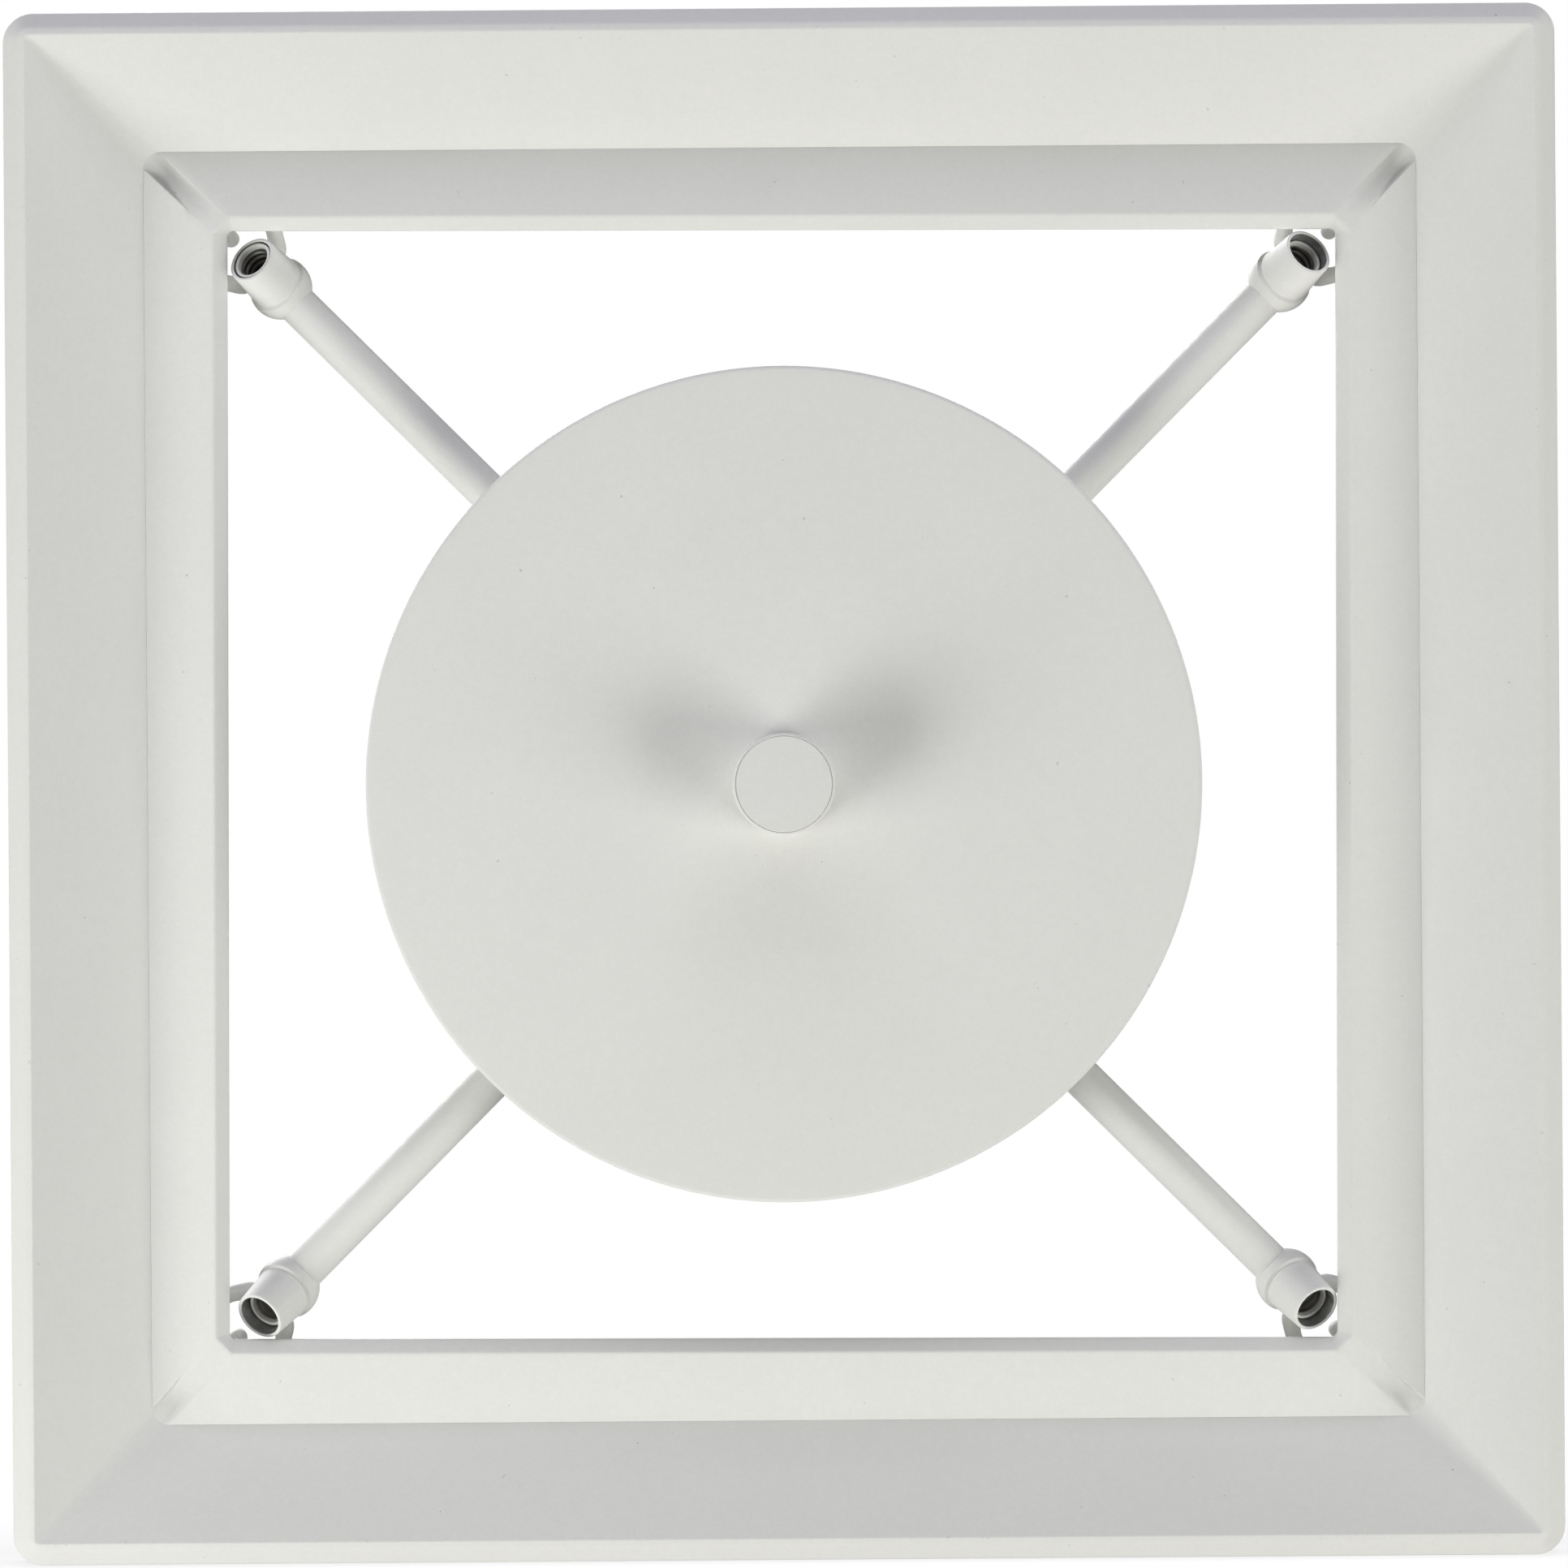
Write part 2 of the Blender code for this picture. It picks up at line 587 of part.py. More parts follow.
def build_inlet_ring():
    """The bell mouth in front of the casing: a quarter ellipse, turned."""
    throat_depth = CASING_FRONT_DEPTH + GAP
    reach = INLET_RADIUS - CASING_BORE
    angles = [pi / 2 * i / 4 for i in range(5)]
    inside = [(INLET_RADIUS - reach * cos(a), throat_depth + INLET_RISE * sin(a)) for a in angles]
    outside = [
        (INLET_RADIUS - (reach - INLET_WALL) * cos(a), throat_depth + (INLET_RISE - INLET_WALL) * sin(a))
        for a in angles
    ]
    return turned("inlet_ring", [*outside[::-1], *inside], FACE_FRONT, 40, "white_plastic")


def build_fixing_screws():
    for i, centre in enumerate(around_axis(SCREW_CIRCLE, 4, pi / 4)):
        head_front = SCREW_SEAT_DEPTH + SCREW_HEAD_HEIGHT
        profile = (
            (0, head_front), (SCREW_CROWN_SHARE * SCREW_HEAD_RADIUS, head_front),
            (SCREW_HEAD_RADIUS, SCREW_SEAT_DEPTH + SMALL_CHAMFER), (SCREW_HEAD_RADIUS, SCREW_SEAT_DEPTH),
            (SCREW_RADIUS, SCREW_SEAT_DEPTH), (SCREW_RADIUS, GAP), (0, GAP),
        )
        turned(f"fixing_screw_{i + 1}", profile, Matrix.Translation(centre) @ FACE_FRONT, 10, "bright_steel")


def build_front_disc(carrier):
    """A very shallow dish with a rolled rim, and a guide sleeve on its back that slides on the spindle."""
    fall = DISC_CENTRE_DEPTH - DISC_RIM_DEPTH
    shares = (0.0, 0.35, 0.7, 1.0)
    rim = DISC_RADIUS - SHEET / 2
    front = [(max(share * rim, SPINDLE_BORE), DISC_CENTRE_DEPTH - fall * share**2) for share in shares]
    inner_rim = DISC_RADIUS - SHEET
    back = [(share * inner_rim, DISC_CENTRE_DEPTH - SHEET - fall * share**2) for share in shares[:0:-1]]
    rim_back = DISC_RIM_DEPTH - DISC_RIM_ROLL
    profile = [
        *front,
        (DISC_RADIUS, DISC_RIM_DEPTH - SHEET / 2),
        (DISC_RADIUS, rim_back),
        (inner_rim, rim_back),
        *back,
        (SLEEVE_RADIUS, DISC_CENTRE_DEPTH - SHEET),
        (SLEEVE_RADIUS, SLEEVE_BACK_DEPTH),
        (SPINDLE_BORE, SLEEVE_BACK_DEPTH),
    ]
    disc = turned("front_disc", profile, FACE_FRONT, 48, "white_powder_coat")
    disc.parent = carrier


def build_knob(carrier):
    back = DISC_CENTRE_DEPTH + GAP
    profile = (
        (0, KNOB_FRONT_DEPTH), (KNOB_RADIUS - SMALL_CHAMFER, KNOB_FRONT_DEPTH),
        (KNOB_RADIUS, KNOB_FRONT_DEPTH - SMALL_CHAMFER), (KNOB_RADIUS, back),
        (SPINDLE_BORE, back), (SPINDLE_BORE, KNOB_BORE_DEPTH), (0, KNOB_BORE_DEPTH),
    )
    knob = turned("knob", profile, FACE_FRONT, 32, "white_powder_coat")
    knob.parent = carrier


def build_spindle():
    profile = (
        (0, SPINDLE_FRONT_DEPTH), (SPINDLE_RADIUS - SPINDLE_CHAMFER, SPINDLE_FRONT_DEPTH),
        (SPINDLE_RADIUS, SPINDLE_FRONT_DEPTH - SPINDLE_CHAMFER), (SPINDLE_RADIUS, SPINDLE_BACK_DEPTH),
        (0, SPINDLE_BACK_DEPTH),
    )
    turned("spindle", profile, FACE_FRONT, 16, "bright_steel")


def build_spindle_bridge():
    """A flat bar across the inlet, with a boss that holds the spindle."""
    size = (2 * BRIDGE_HALF_LENGTH, BRIDGE_THICKNESS, 2 * BRIDGE_HALF_WIDTH)
    bridge = box("spindle_bridge", size, Matrix.Translation(FRONT * BRIDGE_DEPTH), "galvanised_steel")
    boss_front = BRIDGE_DEPTH + BRIDGE_THICKNESS / 2 + GAP
    boss_back = BRIDGE_BOSS_BACK_DEPTH
    boss = cylinder("join_bridge_boss", BRIDGE_BOSS_RADIUS, boss_back, boss_front, FACE_FRONT, 20)
    hole = cylinder("cut_bridge", SPINDLE_RADIUS + GAP, 0, 2 * BRIDGE_DEPTH, FACE_FRONT, 16)
    return cut(join(bridge, boss), hole)


def build_motor():
    """Case, stator and the bracket whose spokes reach the casing wall."""
    inside = MOTOR_RADIUS - MOTOR_WALL
    shaft_hole = SHAFT_RADIUS + 2 * GAP
    case = (
        (0, MOTOR_BACK_DEPTH + MOTOR_WALL), (inside, MOTOR_BACK_DEPTH + MOTOR_WALL),
        (inside, MOTOR_FRONT_DEPTH - MOTOR_WALL), (shaft_hole, MOTOR_FRONT_DEPTH - MOTOR_WALL),
        (shaft_hole, MOTOR_FRONT_DEPTH), (MOTOR_RADIUS, MOTOR_FRONT_DEPTH),
        (MOTOR_RADIUS, MOTOR_BACK_DEPTH), (0, MOTOR_BACK_DEPTH),
    )
    turned("motor_case", case, FACE_FRONT, 24, "galvanised_steel")
    stack_low, stack_high = MOTOR_BACK_DEPTH + STATOR_INSET, MOTOR_FRONT_DEPTH - STATOR_INSET
    stator = (
        (STATOR_BORE, stack_high), (STATOR_RADIUS, stack_high),
        (STATOR_RADIUS, stack_low), (STATOR_BORE, stack_low),
    )
    turned("motor_stator", stator, FACE_FRONT, 24, "copper_winding")
    ring_bore = MOTOR_RADIUS + GAP
    ring = (
        (ring_bore, MOTOR_FRONT_DEPTH), (BRACKET_RING_RADIUS, MOTOR_FRONT_DEPTH),
        (BRACKET_RING_RADIUS, BRACKET_BACK_DEPTH), (ring_bore, BRACKET_BACK_DEPTH),
    )
    bracket = turned("motor_bracket", ring, FACE_FRONT, 24, "grey_plastic")
    inner, outer = ring_bore + JOIN_OVERLAP, CASING_BORE - 2 * GAP
    for i in range(SPOKE_COUNT):
        turn = Matrix.Rotation(2 * pi * i / SPOKE_COUNT, 4, "Y")
        spoke_depth = BRACKET_BACK_DEPTH + SPOKE_STEP + SPOKE_THICKNESS / 2
        middle = Matrix.Translation((0, -spoke_depth, (inner + outer) / 2))
        size = (SPOKE_WIDTH, SPOKE_THICKNESS, outer - inner)
        join(bracket, box(f"join_spoke_{i + 1}", size, turn @ middle))


def build_rotor(carrier):
    """Everything that spins: shaft, rotor, impeller and its nut."""
    ends = (SHAFT_BACK_DEPTH, SHAFT_FRONT_DEPTH)
    shaft = cylinder("motor_shaft", SHAFT_RADIUS, *ends, FACE_FRONT, 12, "bright_steel")
    bore = SHAFT_RADIUS + GAP
    low, high = MOTOR_BACK_DEPTH + ROTOR_INSET, MOTOR_FRONT_DEPTH - ROTOR_INSET
    core_profile = ((bore, high), (ROTOR_RADIUS, high), (ROTOR_RADIUS, low), (bore, low))
    core = turned("motor_rotor", core_profile, FACE_FRONT, 20, "bright_steel")
    hub_profile = (
        (bore, HUB_FRONT_DEPTH), (HUB_NOSE_SHARE * HUB_RADIUS, HUB_FRONT_DEPTH),
        (HUB_RADIUS, HUB_FRONT_DEPTH - HUB_NOSE_LENGTH), (HUB_RADIUS, HUB_BACK_DEPTH),
        (bore, HUB_BACK_DEPTH),
    )
    impeller = turned("impeller", hub_profile, FACE_FRONT, 24, "white_plastic")
    for i in range(BLADE_COUNT):
        join(impeller, build_blade(i))
    nut_low = HUB_FRONT_DEPTH + GAP
    nut = cylinder("impeller_nut", NUT_RADIUS, nut_low, nut_low + NUT_HEIGHT, FACE_FRONT, 6, "bright_steel")
    cut(nut, cylinder("cut_nut", bore, 0, 2 * HUB_FRONT_DEPTH, FACE_FRONT, 12))
    for piece in (shaft, core, impeller, nut):
        piece.parent = carrier


def build_blade(index):
    """A cambered blade whose pitch falls from root to tip, joined to the hub."""
    bm = bmesh.new()
    bmesh.ops.create_grid(bm, x_segments=5, y_segments=4, size=0.5)
    root = HUB_RADIUS - JOIN_OVERLAP
    middle_depth = (HUB_BACK_DEPTH + HUB_FRONT_DEPTH) / 2
    for vert in bm.verts:
        along, across = vert.co.x + 0.5, vert.co.y
        pitch = BLADE_ROOT_PITCH + (BLADE_TIP_PITCH - BLADE_ROOT_PITCH) * along
        camber_share = BLADE_ROOT_CAMBER_SHARE + (1 - BLADE_ROOT_CAMBER_SHARE) * along
        camber = BLADE_CAMBER * (1 - 4 * across**2) * camber_share
        chord_share = BLADE_ROOT_CHORD_SHARE + (BLADE_TIP_CHORD_SHARE - BLADE_ROOT_CHORD_SHARE) * along
        chord = BLADE_CHORD * across * chord_share
        tangent = chord * cos(pitch) - camber * sin(pitch)
        rise = chord * sin(pitch) + camber * cos(pitch)
        radius = root + (BLADE_TIP_RADIUS - root) * along
        reach = sqrt(radius**2 - tangent**2)
        vert.co = (tangent, -(middle_depth + rise), reach)
    turn = Matrix.Rotation(2 * pi * index / BLADE_COUNT, 4, "Y")
    blade = add_object(f"join_blade_{index + 1}", mesh_of("blade", bm), None, turn)
    wall = blade.modifiers.new("thickness", "SOLIDIFY")
    wall.thickness = BLADE_THICKNESS
    wall.offset = 0
    return blade


def build_damper_flap(name, up, barrels, carrier):
    """A half-round flap with two hinge barrels. up is 1 for the upper flap and -1 for the lower one."""
    place = Matrix.Translation(FRONT * PIN_DEPTH)
    half = FLAP_THICKNESS / 2
    flap = cylinder(name, FLAP_RADIUS, -half, half, place @ FACE_FRONT, 40, "galvanised_steel")
    size = 4 * FLAP_RADIUS
    other_side = place @ Matrix.Translation((0, 0, up * (FLAP_CLEAR_OF_PIN - size / 2)))
    cut(flap, box(f"cut_{name}", (size, 2 * CUTTER_MARGIN, size), other_side))
    for i, (left, right) in enumerate(barrels):
        tongue_place = place @ Matrix.Translation(((left + right) / 2, 0, up * TONGUE_REACH))
        tongue_size = (right - left, FLAP_THICKNESS, TONGUE_HEIGHT)
        tongue = box(f"join_{name}_tongue_{i + 1}", tongue_size, tongue_place)
        barrel = cylinder(f"join_{name}_barrel_{i + 1}", BARREL_RADIUS, left, right, place @ FACE_SIDE, 12)
        join(flap, tongue, barrel)
    reach = FLAP_RADIUS + CUTTER_MARGIN
    cut(flap, cylinder(f"cut_{name}_bore", BARREL_BORE, -reach, reach, place @ FACE_SIDE, 12))
    flap.parent = carrier
    flap.matrix_parent_inverse = carrier.matrix_world.inverted()


def build_damper_pin_and_spring():
    half = SPIGOT_RADIUS - PIN_INSET
    place = Matrix.Translation(FRONT * PIN_DEPTH) @ FACE_SIDE
    cylinder("damper_pin", PIN_RADIUS, -half, half, place, 12, "bright_steel")
    path = []
    count = SPRING_POINTS_PER_TURN * SPRING_TURNS
    for i in range(count + 1):
        angle = 2 * pi * i / SPRING_POINTS_PER_TURN
        along = SPRING_HALF_LENGTH * (2 * i / count - 1)
        swing = FRONT * cos(angle) + Vector((0, 0, 1)) * sin(angle)
        path.append(FRONT * PIN_DEPTH + Vector((along, 0, 0)) + SPRING_RADIUS * swing)
    rod("damper_spring", path, SPRING_WIRE, "bright_steel", resolution=1)


def build_electrics():
    """Terminal block and capacitor on the plate, and the motor's cable with its grommet."""
    for name, size, side, finish in (
        ("terminal_block", TERMINAL_BLOCK, -1, "white_plastic"),
        ("capacitor", CAPACITOR, 1, "grey_plastic"),
    ):
        middle = Vector((side * BLOCK_REACH, -(PLATE_THICKNESS + GAP + size.y / 2), 0))
        piece = box(name, size, Matrix.Translation(middle), finish)
        edges = piece.modifiers.new("edges", "BEVEL")
        edges.width = SMALL_CHAMFER
        edges.segments = 1
    start = (BLOCK_REACH - TERMINAL_BLOCK.x / 2 - CABLE_CLEARANCE, CABLE_START_DEPTH)
    end = (MOTOR_RADIUS + CABLE_CLEARANCE, CABLE_END_DEPTH)
    path = [Vector((-reach, -depth, 0)) for reach, depth in (start, *CABLE_ROUTE, end)]
    rod("motor_cable", path, CABLE_RADIUS, "black_rubber")
    inner, outer = CASING_BORE - GROMMET_CLEARANCE, CASING_RADIUS + GROMMET_CLEARANCE
    bore = CABLE_RADIUS + GAP
    profile = (
        (bore, outer + GROMMET_FLANGE), (GROMMET_RADIUS, outer + GROMMET_FLANGE), (GROMMET_RADIUS, outer),
        (GROMMET_NECK, outer), (GROMMET_NECK, inner), (GROMMET_RADIUS, inner),
        (GROMMET_RADIUS, inner - GROMMET_FLANGE), (bore, inner - GROMMET_FLANGE),
    )
    place = Matrix.Translation(FRONT * GROMMET_DEPTH) @ Matrix.Rotation(-pi / 2, 4, "Y")
    turned("cable_grommet", profile, place, 16, "black_rubber")


def joint_carrier(name, depth):
    """An empty on a joint's axis. Its children move with it."""
    empty = bpy.data.objects.new(name, None)
    empty.location = FRONT * depth
    parts.objects.link(empty)
    return empty


def build_frame():
    """The square frame lifts off the rings as one piece."""
    frame_carrier = joint_carrier("frame_carrier", 0)
    for piece in (build_outer_frame(), build_inner_frame()):
        piece.parent = frame_carrier
    for corner, outward, _ in CORNERS:
        build_frame_hook(corner, outward).parent = frame_carrier


def build_arms():
    for corner, outward, recess in CORNERS:
        build_arm(corner, outward)
        build_socket_cup(corner, outward)
        build_lamp_holder(corner, outward, recess)
        build_lamp_lead(corner, outward)


def build_fan():
    fixing_holes = screw_holes("cut_fixing_hole", SCREW_CIRCLE, 4, SCREW_RADIUS + GAP, pi / 4)
    build_mounting_plate(fixing_holes)
    build_duct_spigot(fixing_holes)
    build_fan_casing(fixing_holes)
    build_inlet_ring()
    build_hub_ring()
    build_fixing_screws()
    build_motor()
    build_rotor(joint_carrier("impeller_axis", 0))


def build_front():
    disc_carrier = joint_carrier("disc_carrier", 0)
    build_front_disc(disc_carrier)
    build_knob(disc_carrier)
    build_spindle()
    build_spindle_bridge()


def build_damper():
    flaps = (("damper_flap_upper", 1, UPPER_BARRELS), ("damper_flap_lower", -1, LOWER_BARRELS))
    for name, up, barrels in flaps:
        hinge = joint_carrier(f"{name}_hinge", PIN_DEPTH)
        bpy.context.view_layer.update()
        build_damper_flap(name, up, barrels, hinge)
    build_damper_pin_and_spring()


clear_scene()
parts = new_collection("bathroom_extractor_fan")
cutters = new_collection("cutters")
build_frame()
build_arms()
build_fan()
build_front()
build_damper()
build_electrics()
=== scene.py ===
"""Looks of the square-framed extractor unit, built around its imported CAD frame, in metres.

The front faces -Y. "Depth" is the distance in front of the ceiling plane, so world Y is minus a depth.
"""

import json
from math import atan2, ceil, cos, exp, pi, radians, sin, sqrt, tan

import bmesh
import bpy
from mathutils import Matrix, Vector, noise


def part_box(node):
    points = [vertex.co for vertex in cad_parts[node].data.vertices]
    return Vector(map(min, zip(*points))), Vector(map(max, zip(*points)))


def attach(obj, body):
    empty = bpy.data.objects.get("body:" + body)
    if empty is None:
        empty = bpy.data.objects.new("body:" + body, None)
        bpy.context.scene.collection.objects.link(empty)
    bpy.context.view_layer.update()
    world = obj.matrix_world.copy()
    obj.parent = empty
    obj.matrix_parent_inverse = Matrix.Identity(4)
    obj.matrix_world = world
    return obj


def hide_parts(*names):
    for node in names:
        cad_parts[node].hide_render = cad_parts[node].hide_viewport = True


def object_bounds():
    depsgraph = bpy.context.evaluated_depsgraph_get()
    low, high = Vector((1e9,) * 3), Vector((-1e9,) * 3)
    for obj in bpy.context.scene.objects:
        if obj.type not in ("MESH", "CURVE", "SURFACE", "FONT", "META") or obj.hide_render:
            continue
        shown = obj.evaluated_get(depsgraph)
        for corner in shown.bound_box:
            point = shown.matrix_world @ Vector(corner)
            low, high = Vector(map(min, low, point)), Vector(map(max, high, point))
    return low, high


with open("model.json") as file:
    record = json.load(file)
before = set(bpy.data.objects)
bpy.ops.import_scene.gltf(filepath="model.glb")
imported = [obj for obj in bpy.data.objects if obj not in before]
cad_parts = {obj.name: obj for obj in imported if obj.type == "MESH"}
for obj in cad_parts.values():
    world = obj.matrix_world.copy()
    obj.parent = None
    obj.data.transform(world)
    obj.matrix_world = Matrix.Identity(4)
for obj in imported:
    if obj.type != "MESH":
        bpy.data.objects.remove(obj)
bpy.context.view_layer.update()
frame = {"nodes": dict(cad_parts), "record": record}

FRONT = Vector((0, -1, 0))
UP = Vector((0, 0, 1))
FACE_FRONT = Matrix.Rotation(pi / 2, 4, "X")    # local Z becomes depth
FACE_SIDE = Matrix.Rotation(pi / 2, 4, "Y")     # local Z becomes +X
FACE_LEFT = Matrix.Rotation(-pi / 2, 4, "Y")    # local Z becomes -X
CORNERS = {
    f"{row}_{column}": Vector((x, 0, z)).normalized()
    for row, z in (("top", 1), ("bottom", -1)) for column, x in (("left", -1), ("right", 1))
}


# ---------------------------------------------------------------- places read from the CAD frame

def depth_range(node):
    low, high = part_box(node)
    return -high.y, -low.y


def half_width(node):
    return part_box(node)[1].x


def centre_of(node):
    low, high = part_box(node)
    return (low + high) / 2


def slot_of(node):
    for row in frame["record"]["subparts"]:
        if row["node"] == node:
            return row["material_slot"]


# ---------------------------------------------------------------- mesh helpers

def quarter(steps):
    """Angles from 0 to a quarter turn."""
    return [pi / 2 * i / steps for i in range(steps + 1)]


def finish_mesh(obj, angle=35):
    obj.data.shade_smooth()
    obj.data.set_sharp_from_angle(angle=radians(angle))
    return obj


def new_object(name, data):
    obj = bpy.data.objects.new(name, data)
    bpy.context.scene.collection.objects.link(obj)
    return obj


def object_from(name, bm, angle=35):
    mesh = bpy.data.meshes.new(name)
    bm.to_mesh(mesh)
    bm.free()
    return finish_mesh(new_object(name, mesh), angle)


def mesh_object(name, verts, faces, angle=35):
    mesh = bpy.data.meshes.new(name)
    mesh.from_pydata([tuple(v) for v in verts], [], faces)
    bm = bmesh.new()
    bm.from_mesh(mesh)
    bmesh.ops.remove_doubles(bm, verts=bm.verts, dist=1e-7)
    bmesh.ops.recalc_face_normals(bm, faces=bm.faces)
    return object_from(name, bm, angle)


def loft(name, rings, closed=True, caps=False, angle=35):
    """A skin over closed rings of points. closed joins the last ring to the first."""
    count = len(rings[0])
    last = (len(rings) - 1) * count
    faces = []
    for i in range(len(rings) if closed else len(rings) - 1):
        j = (i + 1) % len(rings)
        for k in range(count):
            m = (k + 1) % count
            faces.append((i * count + k, i * count + m, j * count + m, j * count + k))
    if caps:
        faces.append(tuple(range(count))[::-1])
        faces.append(tuple(last + k for k in range(count)))
    return mesh_object(name, [p for ring in rings for p in ring], faces, angle)


def rounded(points, radii, steps=5, closed=False):
    """A 2D line with its corners rounded. radii has one number for each point that has a corner."""
    pts = [Vector(p) for p in points]
    n = len(pts)
    out = [] if closed else [pts[0]]
    for i, radius in zip(range(n) if closed else range(1, n - 1), radii):
        a, b, c = pts[i - 1], pts[i], pts[(i + 1) % n]
        u, v = (a - b).normalized(), (c - b).normalized()
        half = u.angle(v) / 2
        if radius <= 0 or half > pi / 2 - 0.01:
            out.append(b)
            continue
        reach = min(radius / tan(half), 0.48 * (a - b).length, 0.48 * (c - b).length)
        size = reach * tan(half)
        middle = b + (u + v).normalized() * size / sin(half)
        start, end = b + u * reach - middle, b + v * reach - middle
        turn = atan2(start.x * end.y - start.y * end.x, start.dot(end))
        for s in range(steps + 1):
            t = turn * s / steps
            out.append(middle + Vector((start.x * cos(t) - start.y * sin(t),
                                        start.x * sin(t) + start.y * cos(t))))
    if not closed:
        out.append(pts[-1])
    return out


def lathe(name, profile, radii=None, steps=4, place=FACE_FRONT, sides=96):
    """Turns (radius, height) points about local Z, with their corners rounded by radii.

    A profile that starts clear of the axis is closed into a loop.
    """
    on_axis = profile[0][0] < 1e-9
    if radii:
        profile = rounded(profile, radii, steps, closed=not on_axis)
    verts, faces, rows = [], [], []
    for radius, height in profile:
        if radius < 1e-9:
            rows.append([len(verts)] * sides)
            verts.append(place @ Vector((0, 0, height)))
        else:
            rows.append([len(verts) + k for k in range(sides)])
            for k in range(sides):
                a = 2 * pi * k / sides
                verts.append(place @ Vector((radius * cos(a), radius * sin(a), height)))
    pairs = list(zip(rows, rows[1:]))
    if not on_axis:
        pairs.append((rows[-1], rows[0]))
    for first, second in pairs:
        for k in range(sides):
            m = (k + 1) % sides
            face = tuple(dict.fromkeys((first[k], first[m], second[m], second[k])))
            if len(face) > 2:
                faces.append(face)
    return mesh_object(name, verts, faces)


def plug(radius, low, high, place=FACE_FRONT, sides=24):
    """A round bar that cuts a hole along local Z."""
    return lathe("plug", [(0, low), (radius, low), (radius, high), (0, high)], place=place, sides=sides)


def drill(centre, radius, low=-0.01, high=0.02, sides=24):
    """A round bar that cuts a hole along the fan's axis."""
    return plug(radius, low, high, Matrix.Translation(centre) @ FACE_FRONT, sides)


def sweep(name, path, radii, sides=20, closed=False):
    """A round bar along a path. radii is one number or one for each point."""
    n = len(path)
    if not isinstance(radii, list):
        radii = [radii] * n
    rings = []
    side = None
    for i, point in enumerate(path):
        before = path[i - 1] if i or closed else path[i]
        after = path[(i + 1) % n] if i < n - 1 or closed else path[i]
        along = (after - before).normalized()
        if side is None:
            side = along.orthogonal().normalized()
        side = (side - along * side.dot(along)).normalized()
        other = along.cross(side)
        rings.append([
            point + radii[i] * (cos(2 * pi * k / sides) * side + sin(2 * pi * k / sides) * other)
            for k in range(sides)
        ])
    return loft(name, rings, closed, caps=not closed, angle=40)


def soft_path(points, radius, steps=10):
    """A 3D line with its corners rounded."""
    out = [points[0]]
    for a, b, c in zip(points, points[1:], points[2:]):
        u, v = (a - b).normalized(), (c - b).normalized()
        half = u.angle(v) / 2
        if half > pi / 2 - 0.01:
            out.append(b)
            continue
        reach = min(radius / tan(half), 0.49 * (a - b).length, 0.49 * (c - b).length)
        size = reach * tan(half)
        middle = b + (u + v).normalized() * size / sin(half)
        start, end = b + u * reach - middle, b + v * reach - middle
        for s in range(steps + 1):
            out.append(middle + size * start.slerp(end, s / steps).normalized())
    return out + [points[-1]]


def thread_ring(radius, height, pitch, place, sides):
    """A ring of points at one height of a screw thread. radius maps a share of a turn to a radius."""
    ring = []
    for k in range(sides):
        size, a = radius((height / pitch - k / sides) % 1.0), 2 * pi * k / sides
        ring.append(place @ Vector((size * cos(a), size * sin(a), height)))
    return ring


def rounded_box(name, size, place, width, segments=1):
    bm = bmesh.new()
    bmesh.ops.create_cube(bm, size=1)
    bmesh.ops.scale(bm, vec=size, verts=bm.verts)
    bmesh.ops.bevel(bm, geom=bm.edges[:], offset=width, segments=segments, profile=0.5, affect="EDGES")
    bmesh.ops.transform(bm, matrix=place, verts=bm.verts)
    return object_from(name, bm)


def combine(obj, others, operation="DIFFERENCE"):
    """Cuts or joins other shapes, and deletes them."""
    for other in others:
        step = obj.modifiers.new("step", "BOOLEAN")
        step.object = other
        step.operation = operation
        step.solver = "EXACT"
    bpy.context.view_layer.update()
    done = bpy.data.meshes.new_from_object(obj.evaluated_get(bpy.context.evaluated_depsgraph_get()))
    obj.modifiers.clear()
    obj.data = done
    for other in others:
        bpy.data.objects.remove(other, do_unlink=True)
    return finish_mesh(obj)


def merge(objects, name):
    """Several meshes as one object."""
    bm = bmesh.new()
    for obj in objects:
        bm.from_mesh(obj.data)
        bpy.data.objects.remove(obj, do_unlink=True)
    return object_from(name, bm)


# ---------------------------------------------------------------- materials

def shaded(colour, factor):
    return tuple(min(1, c * factor) for c in colour)


